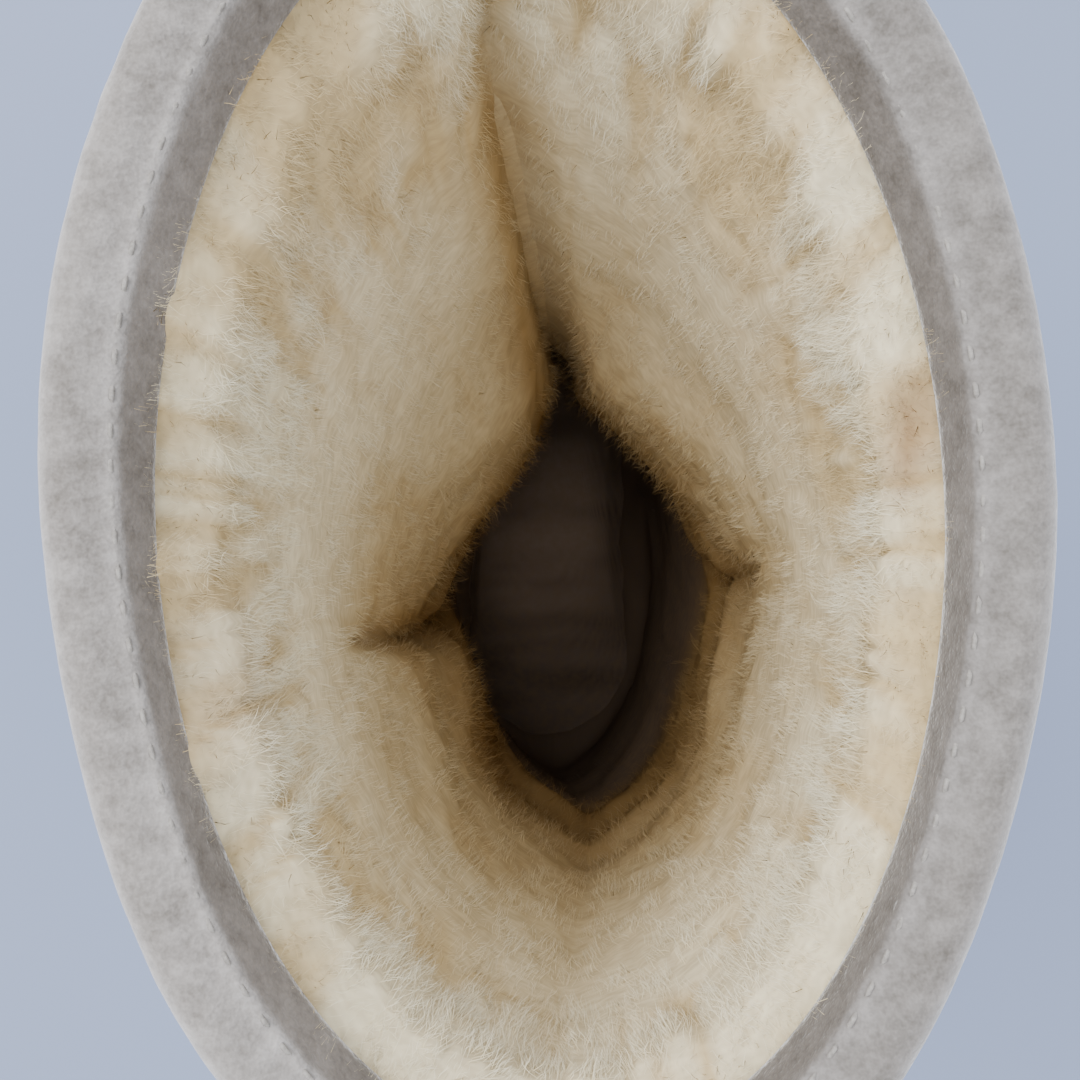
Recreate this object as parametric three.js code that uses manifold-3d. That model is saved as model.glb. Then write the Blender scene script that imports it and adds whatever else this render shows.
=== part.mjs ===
// A short pull-on sheepskin boot for the right foot, standing empty on its sole.
// Sizes are in millimetres. X runs forward to the toe, Y to the wearer's left and Z up.
// The origin is on the floor, under the middle of the heel seat.

import * as THREE from "three";
import { mergeVertices } from "three/addons/utils/BufferGeometryUtils.js";
import Module from "manifold-3d";

// Sole
const SOLE_LENGTH = 268;
const HEEL_REACH = 38; // from the origin back to the rear edge of the sole
const BALL_WIDTH = 101;
const HEEL_WIDTH = 77;
const HEEL_THICKNESS = 19;
const BALL_THICKNESS = 14;
const TOE_SPRING = 9;
const ARCH_RISE = 2;
const HEEL_ROUND = 37; // length of the rounded heel end
const TOE_ROUND = 64; // length of the rounded toe end
const WIDENS_FROM = 0.22; // share of the sole's length, from the heel, at which it widens
const WIDENS_OVER = 0.4;
const THINS_FROM = 0.2; // where it thins towards the ball
const THINS_OVER = 0.38;
const ARCH_FROM = 0.25;
const ARCH_OVER = 0.26;
const TOE_FROM = 0.73; // where the toe lifts
const SOLE_STEP = 2.2; // depth of the deepest step in the sole's side
const SOLE_MARGIN = 3; // how far the sole stands out past the upper
const TREAD_PITCH = 14;
const TREAD_GROOVE = 4;
const TREAD_DEPTH = 2.5;
const TREAD_WAVE = 2.5;
const TREAD_WAVELENGTH = 60;

// Upper
const BOOT_HEIGHT = 245;
const ANKLE_HEIGHT = 118; // height at which the shaft starts at the back
const ANKLE_LENGTH = 111;
const ANKLE_WIDTH = 80;
const ANKLE_REACH = 34.5; // from the origin back to the ankle
const ANKLE_LEAN = 7; // how far the slack ankle leans to the right
const COLLAR_LENGTH = 145;
const COLLAR_WIDTH = 94;
const COLLAR_REACH = 35; // from the origin back to the collar
const HEEL_BULGE = 4;
const UPPER_SWELL = 2.5;
const SUEDE = 2; // thickness of the suede wall
const SEAM_WIDTH = 5;
const SEAM_RISE = 1.3;
const SEAM_SINK = 1;
const SEAM_BEVEL = 1;
const VAMP_SEAM_TOP = 8.6; // the ring whose front the vamp seam crosses
const VAMP_SEAM_FOOT = 72; // how far ahead of the origin the vamp seam meets the sole
const VAMP_SEAM_BOW = 12;

// Overlays
const OVERLAY = 1.5; // thickness of the heel counter and the back stay
const COUNTER_HEIGHT = 64; // above the feather edge, at the back
const COUNTER_FRONT = 48; // ahead of the origin, at the sole
const COUNTER_SHOULDER = 0.8; // height above the origin, as a share of the height at the back
const COUNTER_WAIST = 0.62; // height at which the front edge starts to lean back
const COUNTER_BOW = 8;
const COUNTER_LEAN = 2;
const STAY_WIDTH = 19;
const CUTTER_REACH = 20; // how far a cutting block reaches past the heel

// Binding
const BINDING = 1.3;
const BINDING_OUTSIDE = 13;
const BINDING_INSIDE = 8;
const BINDING_CORNER = 0.28; // shares of its half width that round its crown
const BINDING_SHOULDER = 0.7;
const BINDING_SIDE = 0.78;
const BINDING_CROWN = 0.32;

// Fleece
const FLEECE = 11;
const FLEECE_AT_COLLAR = 3.2; // pressed flat under the binding
const FLEECE_IN_FOOT = 9;
const FLEECE_SWELL = 16; // below the binding, where the fleece has its full thickness
const FLEECE_ROUND = 0.45; // share of that depth at which the swell is rounded
const LOBE_RING = 12.5; // an extra ring over the widest of the swells
const INSOLE_THICKNESS = 8;
const INSOLE_DISH = 2;

const FIT = 0.35; // clearance between curved pieces that meet
const AROUND = 44; // points round each ring
const DEGREE = Math.PI / 180;

const SOLE_BACK = -HEEL_REACH;
const SOLE_FRONT = SOLE_LENGTH - HEEL_REACH;
const FEATHER = HEEL_THICKNESS + FIT; // where the upper meets the sole at the heel

// The sole's outline. Each half width is a share of the width at that station, which grows
// from the heel's width to the ball's. The wearer's left is the inner side of the foot.
const OUTLINE = rows(["along", "left", "right"], [
  [0.0, 0.97, 0.97],
  [0.14, 1.0, 1.0],
  [0.36, 0.85, 0.97],
  [0.5, 0.84, 1.0],
  [0.64, 0.96, 1.03],
  [0.74, 1.01, 1.0],
  [0.87, 1.04, 0.94],
  [1.0, 1.0, 0.86],
]);

// The step profile of the sole's side, from the tread up to the feather edge.
const SOLE_SIDE = rows(["height", "inset"], [
  [0.0, 1.0],
  [0.1, 0.2],
  [0.4, 0.0],
  [0.43, 0.5],
  [0.51, 0.5],
  [0.54, 0.0],
  [0.9, 0.1],
  [1.0, 0.7],
]);

// The upper's rings, from the feather edge to the collar. instep and shaft place the back of
// the ring on the way up the heel and the shaft. toe and fore place its front ahead of the
// ankle, as shares of the way to the toe and to the collar's front. lift raises the front.
// sole is how much the ring keeps the sole's outline, oval how far its ends are drawn out,
// and pinch how much its front half narrows over the instep.
const RING_COLUMNS = ["instep", "shaft", "toe", "fore", "lift", "sole", "oval", "swell", "bulge", "lean", "pinch"];
const RINGS = rows(RING_COLUMNS, [
  [0.0, 0.0, 1.0, 0.0, 0.0, 1.0, 0.0, 0.0, 0.0, 0.0, 0.0],
  [0.08, 0.0, 1.012, 0.0, 0.05, 0.95, 0.02, 0.8, 0.5, 0.0, 0.0],
  [0.16, 0.0, 0.99, 0.0, 0.098, 0.85, 0.08, 1.0, 0.85, 0.0, 0.0],
  [0.235, 0.0, 0.935, 0.0, 0.134, 0.7, 0.2, 0.8, 1.0, 0.05, 0.0],
  [0.31, 0.0, 0.842, 0.0, 0.14, 0.52, 0.38, 0.5, 1.0, 0.1, 0.0],
  [0.395, 0.0, 0.7, 0.0, 0.132, 0.35, 0.58, 0.25, 0.9, 0.2, 0.03],
  [0.485, 0.0, 0.545, 0.0, 0.12, 0.21, 0.78, 0.1, 0.7, 0.35, 0.07],
  [0.585, 0.0, 0.385, 0.0, 0.112, 0.1, 0.93, 0.0, 0.5, 0.5, 0.12],
  [0.7, 0.0, 0.235, 0.0, 0.108, 0.04, 1.0, 0.0, 0.3, 0.7, 0.18],
  [0.82, 0.0, 0.118, 0.0, 0.115, 0.0, 1.0, 0.0, 0.12, 0.9, 0.24],
  [0.94, 0.0, 0.04, 0.0, 0.115, 0.0, 1.0, 0.0, 0.0, 1.0, 0.27],
  [1.0, 0.1, 0.005, 0.02, 0.078, 0.0, 1.0, 0.0, 0.0, 1.0, 0.27],
  [1.0, 0.25, 0.0, 0.13, 0.03, 0.0, 1.0, 0.0, 0.0, 0.85, 0.24],
  [1.0, 0.42, 0.0, 0.34, 0.0, 0.0, 1.0, 0.0, 0.0, 0.65, 0.18],
  [1.0, 0.6, 0.0, 0.56, 0.0, 0.0, 1.0, 0.0, 0.0, 0.42, 0.1],
  [1.0, 0.8, 0.0, 0.79, 0.0, 0.0, 1.0, 0.0, 0.0, 0.2, 0.04],
  [1.0, 1.0, 0.0, 1.0, 0.0, 0.0, 1.0, 0.0, 0.0, 0.0, 0.0],
]);
const LAST_RING = RINGS.length - 1;

// Swells and creases of the fleece inside the shaft. around is in degrees from the front
// towards the left, up is a share of the boot's height, and depth is a share of the fleece.
const FLEECE_FOLDS = rows(["around", "width", "up", "height", "depth"], [
  [7, 9, 0.62, 0.3, -0.3],
  [44, 22, 0.5, 0.17, 0.42],
  [-40, 22, 0.5, 0.17, 0.38],
  [84, 9, 0.52, 0.15, -0.35],
  [-88, 9, 0.52, 0.15, -0.35],
  [112, 20, 0.5, 0.14, 0.35],
  [-120, 20, 0.5, 0.14, 0.2],
  [180, 12, 0.42, 0.2, -0.12],
]);

function rows(names, values) {
  return values.map((row) => Object.fromEntries(names.map((name, i) => [name, row[i]])));
}

function mix(a, b, share) {
  return a + (b - a) * share;
}

function ease(value) {
  const share = Math.min(Math.max(value, 0), 1);
  return share * share * (3 - 2 * share);
}

// Reads a column between the rows of a table, on a smooth curve through them.
function readBetween(table, name, place) {
  const row = Math.min(Math.max(Math.floor(place), 0), table.length - 2);
  const share = place - row;
  const [before, start, end, after] = [-1, 0, 1, 2].map((step) => {
    return table[Math.min(Math.max(row + step, 0), table.length - 1)][name];
  });
  const slopeIn = (end - before) / 2;
  const slopeOut = (after - start) / 2;
  const cube = 2 * (start - end) + slopeIn + slopeOut;
  const square = 3 * (end - start) - 2 * slopeIn - slopeOut;
  return ((cube * share + square) * share + slopeIn) * share + start;
}

// The row, with its fraction, at which a rising column reaches a value.
function findRow(table, name, value) {
  const next = table.findIndex((row) => row[name] >= value);
  if (next <= 0) return next === 0 ? 0 : table.length - 1;
  const low = table[next - 1][name];
  return next - 1 + (value - low) / (table[next][name] - low);
}

function endRound(distance, length) {
  const share = 1 - Math.min(Math.max(distance / length, 0), 1);
  return Math.sqrt(1 - share * share);
}

// The sole's half width at x, on the left or the right.
function soleHalfWidth(x, side) {
  const along = (x - SOLE_BACK) / SOLE_LENGTH;
  const width = mix(HEEL_WIDTH, BALL_WIDTH, ease((along - WIDENS_FROM) / WIDENS_OVER));
  return (width / 2) * readBetween(OUTLINE, side > 0 ? "left" : "right", findRow(OUTLINE, "along", along));
}

function soleBottom(x) {
  const along = (x - SOLE_BACK) / SOLE_LENGTH;
  const arch = Math.sin(Math.PI * Math.min(Math.max((along - ARCH_FROM) / ARCH_OVER, 0), 1)) ** 2;
  const toe = Math.max(along - TOE_FROM, 0) / (1 - TOE_FROM);
  return ARCH_RISE * arch + TOE_SPRING * toe * toe;
}

function soleTop(x) {
  const along = (x - SOLE_BACK) / SOLE_LENGTH;
  const toe = Math.max(along - TOE_FROM, 0) / (1 - TOE_FROM);
  const thinning = ease((along - THINS_FROM) / THINS_OVER);
  return mix(HEEL_THICKNESS, BALL_THICKNESS, thinning) + TOE_SPRING * toe * toe;
}

// A point of the sole's outline, moved inward by inset.
function soleOutline(angle, inset) {
  const x = mix(SOLE_BACK + inset, SOLE_FRONT - inset, (1 + Math.cos(angle)) / 2);
  const side = Math.sin(angle) >= 0 ? 1 : -1;
  const ends = endRound(x - SOLE_BACK - inset, HEEL_ROUND) * endRound(SOLE_FRONT - inset - x, TOE_ROUND);
  return { x, y: side * ends * (soleHalfWidth(x, side) - inset) };
}

function ringBackHeight(place) {
  const foot = readBetween(RINGS, "instep", place) * (ANKLE_HEIGHT - FEATHER);
  return FEATHER + foot + readBetween(RINGS, "shaft", place) * (BOOT_HEIGHT - ANKLE_HEIGHT);
}

// The ring whose back is at the given height.
function ringAtHeight(height) {
  let low = 0;
  let high = LAST_RING;
  for (let step = 0; step < 40; step += 1) {
    const middle = (low + high) / 2;
    if (ringBackHeight(middle) < height) low = middle;
    else high = middle;
  }
  return (low + high) / 2;
}

// The outer surface of the upper. place runs up the rings, and angle round them from the
// front of the boot towards its left.
function surfacePoint(place, angle) {
  const at = (name) => readBetween(RINGS, name, place);
  const ankleFront = ANKLE_LENGTH - ANKLE_REACH;
  const collarFront = COLLAR_LENGTH - COLLAR_REACH;
  const toe = SOLE_FRONT - SOLE_MARGIN;
  const heelReach = mix(mix(HEEL_REACH - SOLE_MARGIN, ANKLE_REACH, at("instep")), COLLAR_REACH, at("shaft"));
  const back = -heelReach - HEEL_BULGE * at("bulge");
  const front = ankleFront + at("toe") * (toe - ankleFront) + at("fore") * (collarFront - ankleFront);
  const forward = (1 + Math.cos(angle)) / 2;
  const x = mix(back, front, forward);
  const side = Math.sin(angle) >= 0 ? 1 : -1;
  const halfLength = (front - back) / 2;
  const ends =
    endRound(x - back, mix(HEEL_ROUND, halfLength, at("oval"))) *
    endRound(front - x, mix(TOE_ROUND, halfLength, at("oval")));
  const shaftHalfWidth = mix(ANKLE_WIDTH, COLLAR_WIDTH, at("shaft")) / 2;
  const halfWidth = mix(shaftHalfWidth, soleHalfWidth(x, side) - SOLE_MARGIN, at("sole"));
  const narrowed = 1 - at("pinch") * ease((forward - 0.45) / 0.5);
  const y = side * ends * narrowed * (halfWidth + UPPER_SWELL * at("swell")) - ANKLE_LEAN * at("lean");
  const lift = at("lift") * (ANKLE_HEIGHT - FEATHER) * forward;
  const z = ringBackHeight(place) + lift + at("sole") * (soleTop(x) - HEEL_THICKNESS);
  return new THREE.Vector3(x, y, z);
}

// The outward direction of the surface, level at the feather edge and at the collar.
function surfaceNormal(place, angle) {
  const turn = 0.02;
  const step = 0.05;
  const low = Math.max(place - step, 0);
  const high = Math.min(place + step, LAST_RING);
  const round = surfacePoint(place, angle + turn).sub(surfacePoint(place, angle - turn));
  const up = surfacePoint(high, angle).sub(surfacePoint(low, angle));
  const normal = round.cross(up).normalize();
  normal.z *= ease(place / 1.5) * ease((LAST_RING - place) / 1.5);
  return normal.normalize();
}

function upperPoint(place, angle, inset) {
  return surfacePoint(place, angle).addScaledVector(surfaceNormal(place, angle), -inset);
}

// Thickness of the fleece on the inside of the upper.
function fleeceThickness(place, angle) {
  const height = ringBackHeight(place);
  const drop = BOOT_HEIGHT - height;
  const body = mix(FLEECE_IN_FOOT, FLEECE, ease((height - FEATHER) / (ANKLE_HEIGHT - FEATHER)));
  let folds = 0;
  for (const fold of FLEECE_FOLDS) {
    const turned = Math.atan2(Math.sin(angle - fold.around * DEGREE), Math.cos(angle - fold.around * DEGREE));
    const beside = turned / (fold.width * DEGREE);
    const above = (height / BOOT_HEIGHT - fold.up) / fold.height;
    folds += fold.depth * Math.exp(-beside * beside - above * above);
  }
  const open = ease((drop - BINDING_INSIDE - 2 * FIT) / FLEECE_SWELL + 0.25);
  const isBound = drop < BINDING_INSIDE + FIT;
  return isBound ? FLEECE_AT_COLLAR : mix(FLEECE_AT_COLLAR, body + FLEECE * folds, open);
}

// A closed mesh from a list of points and a list of faces with three or four corners.
function closedMesh(points, faces) {
  const positions = points.flatMap((point) => [point.x, point.y, point.z]);
  const index = faces.flatMap(([a, b, c, d]) => (d === undefined ? [a, b, c] : [a, b, c, a, c, d]));
  const geometry = new THREE.BufferGeometry();
  geometry.setAttribute("position", new THREE.Float32BufferAttribute(positions, 3));
  geometry.setIndex(index);
  return geometry;
}

function anglesRound() {
  return Array.from({ length: AROUND }, (_, i) => (i / AROUND) * 2 * Math.PI);
}

function evenPlaces(first, last, steps) {
  return Array.from({ length: steps + 1 }, (_, i) => mix(first, last, i / steps));
}

// A hollow wall that runs round the boot, from its outer and its inner rings of points.
function ringWall(outer, inner) {
  const count = outer[0].length;
  const points = [...outer.flat(), ...inner.flat()];
  const innerStart = outer.length * count;
  const faces = [];
  for (let i = 0; i < count; i += 1) {
    const next = (i + 1) % count;
    for (let row = 0; row < outer.length - 1; row += 1) {
      const [a, b] = [row * count + i, row * count + next];
      faces.push([a, b, b + count, a + count]);
      faces.push([innerStart + a, innerStart + a + count, innerStart + b + count, innerStart + b]);
    }
    const top = (outer.length - 1) * count;
    faces.push([top + i, top + next, innerStart + top + next, innerStart + top + i]);
    faces.push([i, innerStart + i, innerStart + next, next]);
  }
  return closedMesh(points, faces);
}

// A solid from rings stacked upward, closed below and above by strips from side to side.
function ringStack(rings) {
  const count = rings[0].length;
  const points = rings.flat();
  const top = (rings.length - 1) * count;
  const faces = [];
  for (let i = 0; i < count; i += 1) {
    const next = (i + 1) % count;
    for (let row = 0; row < rings.length - 1; row += 1) {
      const [a, b] = [row * count + i, row * count + next];
      faces.push([a, b, b + count, a + count]);
    }
  }
  for (let i = 0; i < count / 2; i += 1) {
    const across = (count - i) % count;
    const nextAcross = count - i - 1;
    const corners = i === 0 ? [0, 1, nextAcross] : [i, i + 1, nextAcross, across];
    const cap = i === count / 2 - 1 ? [i, i + 1, across] : corners;
    faces.push(cap.map((corner) => top + corner));
    faces.push([...cap].reverse());
  }
  return closedMesh(points, faces);
}

const wasm = await Module();
wasm.setup();

function toSolid(geometry) {
  const bare = geometry.clone();
  bare.deleteAttribute("normal");
  bare.deleteAttribute("uv");
  const merged = mergeVertices(bare, 1e-4);
  const vertProperties = new Float32Array(merged.attributes.position.array);
  const triVerts = new Uint32Array(merged.index.array);
  return new wasm.Manifold(new wasm.Mesh({ numProp: 3, vertProperties, triVerts }));
}

function toGeometry(solid) {
  const { vertProperties, triVerts } = solid.getMesh();
  const geometry = new THREE.BufferGeometry();
  geometry.setAttribute("position", new THREE.Float32BufferAttribute(vertProperties, 3));
  geometry.setIndex(new THREE.Uint32BufferAttribute(triVerts, 1));
  return geometry;
}

// Sole

function treadGroove(x) {
  const reach = BALL_WIDTH / 2 + TREAD_GROOVE * 2;
  const quarter = TREAD_WAVELENGTH / 4;
  const count = Math.ceil(reach / quarter);
  const edge = (side) => {
    return Array.from({ length: 2 * count + 1 }, (_, i) => {
      const y = (i - count) * quarter;
      const wave = TREAD_WAVE * Math.sin((2 * Math.PI * y) / TREAD_WAVELENGTH);
      return new THREE.Vector2(x + wave + (side * TREAD_GROOVE) / 2, y);
    });
  };
  const outline = new THREE.Shape([...edge(1), ...edge(-1).reverse()]);
  const below = 1;
  const depth = below + soleBottom(x) + TREAD_DEPTH;
  const groove = new THREE.ExtrudeGeometry(outline, { depth, bevelEnabled: false });
  return groove.translate(0, 0, -below);
}

function outsole() {
  const rings = SOLE_SIDE.map(({ height, inset }) => {
    return anglesRound().map((angle) => {
      const { x, y } = soleOutline(angle, inset * SOLE_STEP);
      return new THREE.Vector3(x, y, mix(soleBottom(x), soleTop(x), height));
    });
  });
  let solid = toSolid(ringStack(rings));
  const first = Math.ceil((SOLE_BACK + TREAD_GROOVE) / TREAD_PITCH);
  const last = Math.floor(SOLE_FRONT / TREAD_PITCH) - 1;
  for (let i = first; i < last; i += 1) {
    const x = (i + 0.5) * TREAD_PITCH;
    const along = (x - SOLE_BACK) / SOLE_LENGTH;
    const isArch = along > ARCH_FROM && along < ARCH_FROM + ARCH_OVER;
    if (!isArch) solid = solid.subtract(toSolid(treadGroove(x)));
  }
  return toGeometry(solid);
}

// Upper

// A raised strip that follows the upper's surface along a path, sunk a little into the wall.
function seamStrip(path, rise) {
  const half = SEAM_WIDTH / 2;
  const section = [
    [half, -SEAM_SINK],
    [half, rise * 0.4],
    [half - SEAM_BEVEL, rise],
    [SEAM_BEVEL - half, rise],
    [-half, rise * 0.4],
    [-half, -SEAM_SINK],
  ];
  const centre = path.map(({ place, angle }) => surfacePoint(place, angle));
  const rings = path.map(({ place, angle }, i) => {
    const before = centre[Math.max(i - 1, 0)];
    const after = centre[Math.min(i + 1, centre.length - 1)];
    const along = after.clone().sub(before).normalize();
    const normal = surfaceNormal(place, angle);
    const side = along.clone().cross(normal).normalize();
    return section.map(([across, out]) => {
      return centre[i].clone().addScaledVector(side, across).addScaledVector(normal, out);
    });
  });
  const count = section.length;
  const end = (rings.length - 1) * count;
  const faces = [];
  for (let ring = 0; ring < rings.length - 1; ring += 1) {
    for (let i = 0; i < count; i += 1) {
      const [a, b] = [ring * count + i, ring * count + ((i + 1) % count)];
      faces.push([a, a + count, b + count, b]);
    }
  }
  for (let i = 1; i < count - 1; i += 1) {
    faces.push([0, i, i + 1]);
    faces.push([end, end + i + 1, end + i]);
  }
  return closedMesh(rings.flat(), faces);
}

// The angle at which a ring passes a given x, on its left half.
function angleAt(place, x) {
  const front = surfacePoint(place, 0).x;
  const back = surfacePoint(place, Math.PI).x;
  const forward = Math.min(Math.max((x - back) / (front - back), 0), 1);
  return Math.acos(2 * forward - 1);
}

function vampSeamPath() {
  const steps = 11;
  const top = surfacePoint(VAMP_SEAM_TOP, 0).x;
  const lowest = 0.3;
  return Array.from({ length: 2 * steps + 1 }, (_, i) => {
    const share = ((i - steps) / steps) ** 2;
    const place = mix(VAMP_SEAM_TOP, lowest, share);
    const x = mix(top, VAMP_SEAM_FOOT, share) + VAMP_SEAM_BOW * 4 * share * (1 - share);
    return { place, angle: Math.sign(i - steps) * angleAt(place, x) };
  });
}

function collarEdge() {
  return ringAtHeight(BOOT_HEIGHT - BINDING - FIT);
}

function frontSeamPath() {
  const top = ringAtHeight(BOOT_HEIGHT - BINDING_OUTSIDE - 2 * FIT);
  return evenPlaces(VAMP_SEAM_TOP + 0.05, top, 10).map((place) => ({ place, angle: 0 }));
}

function upperPlaces() {
  return [...evenPlaces(0, LAST_RING - 1, LAST_RING - 1), collarEdge()];
}

function upper() {
  const ring = (inset) => (place) => anglesRound().map((angle) => upperPoint(place, angle, inset));
  const wall = ringWall(upperPlaces().map(ring(0)), upperPlaces().map(ring(SUEDE)));
  const vampSeam = toSolid(seamStrip(vampSeamPath(), SEAM_RISE));
  const frontSeam = toSolid(seamStrip(frontSeamPath(), SEAM_RISE * 0.8));
  return toGeometry(toSolid(wall).add(vampSeam).add(frontSeam));
}

// Overlays

// The wall that lies against the outside of the upper, from which the overlays are cut.
function overlayWall() {
  const ring = (inset) => (place) => anglesRound().map((angle) => upperPoint(place, angle, inset));
  const places = upperPlaces();
  return toSolid(ringWall(places.map(ring(-FIT - OVERLAY)), places.map(ring(-FIT))));
}

// The side outline of the heel counter, as a block right across the boot.
function counterBlock(grow) {
  const behind = -HEEL_REACH - CUTTER_REACH;
  const top = FEATHER + COUNTER_HEIGHT + grow;
  const outline = new THREE.Shape();
  outline.moveTo(behind, 0);
  outline.lineTo(COUNTER_FRONT, 0);
  const foot = FEATHER + COUNTER_HEIGHT * (1 - COUNTER_SHOULDER);
  const waist = FEATHER + COUNTER_HEIGHT * COUNTER_WAIST;
  const shoulder = top - COUNTER_HEIGHT * (1 - COUNTER_SHOULDER);
  outline.lineTo(COUNTER_FRONT - COUNTER_LEAN, foot);
  outline.quadraticCurveTo(COUNTER_FRONT - COUNTER_BOW, waist, 0, shoulder);
  outline.quadraticCurveTo(-HEEL_REACH * COUNTER_WAIST, top, behind, top + 2 * COUNTER_LEAN);
  const depth = BALL_WIDTH * 2;
  const block = new THREE.ExtrudeGeometry(outline, { depth, bevelEnabled: false, curveSegments: 7 });
  return toSolid(block.rotateX(Math.PI / 2).translate(0, depth / 2, 0));
}

function heelCounter() {
  return toGeometry(overlayWall().intersect(counterBlock(0)));
}

function backStay() {
  const top = BOOT_HEIGHT - BINDING_OUTSIDE - 2 * FIT;
  const reach = HEEL_REACH + CUTTER_REACH;
  const strip = new THREE.BoxGeometry(reach, STAY_WIDTH, top);
  strip.translate(-reach / 2, 0, top / 2);
  return toGeometry(overlayWall().intersect(toSolid(strip)).subtract(counterBlock(2 * FIT)));
}

// Binding

// A point at a depth below the top of the collar, inset from the upper's outer surface.
function collarPoint(drop, inset, angle) {
  return upperPoint(ringAtHeight(BOOT_HEIGHT - drop), angle, inset);
}

function collarBinding() {
  const outside = -FIT;
  const inside = SUEDE + FIT + FLEECE_AT_COLLAR + FIT;
  const middle = (outside + inside) / 2;
  const half = (inside - outside) / 2 + BINDING;
  const section = [
    [BINDING_OUTSIDE, outside - BINDING],
    [half * BINDING_SHOULDER, outside - BINDING],
    [half * BINDING_CORNER, middle - half * BINDING_SIDE],
    [0, middle - half * BINDING_CROWN],
    [0, middle + half * BINDING_CROWN],
    [half * BINDING_CORNER, middle + half * BINDING_SIDE],
    [half * BINDING_SHOULDER, inside + BINDING],
    [BINDING_INSIDE, inside + BINDING],
    [BINDING_INSIDE, inside],
    [BINDING, inside],
    [BINDING, outside],
    [BINDING_OUTSIDE, outside],
  ];
  const count = section.length;
  const points = anglesRound().flatMap((angle) => section.map(([drop, inset]) => collarPoint(drop, inset, angle)));
  const faces = [];
  for (let ring = 0; ring < AROUND; ring += 1) {
    const start = ring * count;
    const next = ((ring + 1) % AROUND) * count;
    for (let i = 0; i < count; i += 1) {
      const after = (i + 1) % count;
      faces.push([start + i, next + i, next + after, start + after]);
    }
  }
  return closedMesh(points, faces);
}

// Lining and insole

// A point between two of the upper's rings, where the faceted wall is straight.
function facetPoint(place, angle, inset) {
  const places = upperPlaces();
  const next = Math.max(places.findIndex((ring) => ring >= place), 1);
  const share = (place - places[next - 1]) / (places[next] - places[next - 1]);
  return upperPoint(places[next - 1], angle, inset).lerp(upperPoint(places[next], angle, inset), share);
}

function liningPlaces() {
  const underBinding = BOOT_HEIGHT - BINDING_INSIDE;
  const bound = [underBinding - FIT / 2, underBinding - 2 * FIT, underBinding - FLEECE_SWELL * FLEECE_ROUND];
  return [...upperPlaces(), ...bound.map(ringAtHeight), LOBE_RING].sort((a, b) => a - b);
}

function fleeceLining() {
  const outside = SUEDE + FIT;
  const outer = liningPlaces().map((place) => anglesRound().map((angle) => facetPoint(place, angle, outside)));
  const inner = liningPlaces().map((place) => {
    return anglesRound().map((angle) => facetPoint(place, angle, outside + fleeceThickness(place, angle)));
  });
  return ringWall(outer, inner);
}

function insole() {
  const edge = SUEDE + FIT + FLEECE_IN_FOOT + FIT;
  const ring = (inset, height) => {
    return anglesRound().map((angle) => {
      const { x, y } = upperPoint(0, angle, edge + inset);
      return new THREE.Vector3(x, y, soleTop(x) + FIT + height);
    });
  };
  const lip = INSOLE_THICKNESS / 4;
  return ringStack([
    ring(0, 0),
    ring(0, INSOLE_THICKNESS - lip),
    ring(lip, INSOLE_THICKNESS),
    ring(lip * 5, INSOLE_THICKNESS - INSOLE_DISH),
  ]);
}

// Boot

function part(name, geometry, color, roughness) {
  geometry.computeVertexNormals();
  const material = new THREE.MeshStandardMaterial({ color, roughness, metalness: 0 });
  const mesh = new THREE.Mesh(geometry, material);
  mesh.name = name;
  return mesh;
}

const boot = new THREE.Group();
boot.name = "sheepskin_boot";
boot.add(part("outsole", outsole(), 0x8f8b86, 0.85));
boot.add(part("upper", upper(), 0x9f9b96, 0.95));
boot.add(part("heel_counter", heelCounter(), 0x969189, 0.95));
boot.add(part("back_stay", backStay(), 0x969189, 0.95));
boot.add(part("collar_binding", collarBinding(), 0xa8a4a0, 0.95));
boot.add(part("fleece_lining", fleeceLining(), 0xc9bfa8, 1));
boot.add(part("insole", insole(), 0xb9a888, 1));

export default boot;
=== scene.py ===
"""Dresses the sheepskin boot: suede, seams and stitches, collar binding, wool pile, insole and sole."""

import math

import bpy
import numpy as np
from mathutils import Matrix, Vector


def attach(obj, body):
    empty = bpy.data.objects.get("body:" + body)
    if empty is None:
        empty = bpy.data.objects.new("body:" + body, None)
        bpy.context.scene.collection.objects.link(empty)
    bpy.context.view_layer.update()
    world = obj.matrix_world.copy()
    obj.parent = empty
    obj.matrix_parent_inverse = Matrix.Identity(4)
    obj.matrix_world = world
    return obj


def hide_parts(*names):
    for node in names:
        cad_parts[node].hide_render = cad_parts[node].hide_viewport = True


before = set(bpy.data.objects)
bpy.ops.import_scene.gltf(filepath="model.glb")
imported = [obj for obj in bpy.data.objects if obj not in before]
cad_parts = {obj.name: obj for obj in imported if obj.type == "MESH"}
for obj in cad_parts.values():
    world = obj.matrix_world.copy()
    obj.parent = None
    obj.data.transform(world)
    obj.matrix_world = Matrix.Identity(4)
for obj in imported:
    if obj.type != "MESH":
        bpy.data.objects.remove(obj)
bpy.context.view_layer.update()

MM = 0.001
DEGREE = math.pi / 180

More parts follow.
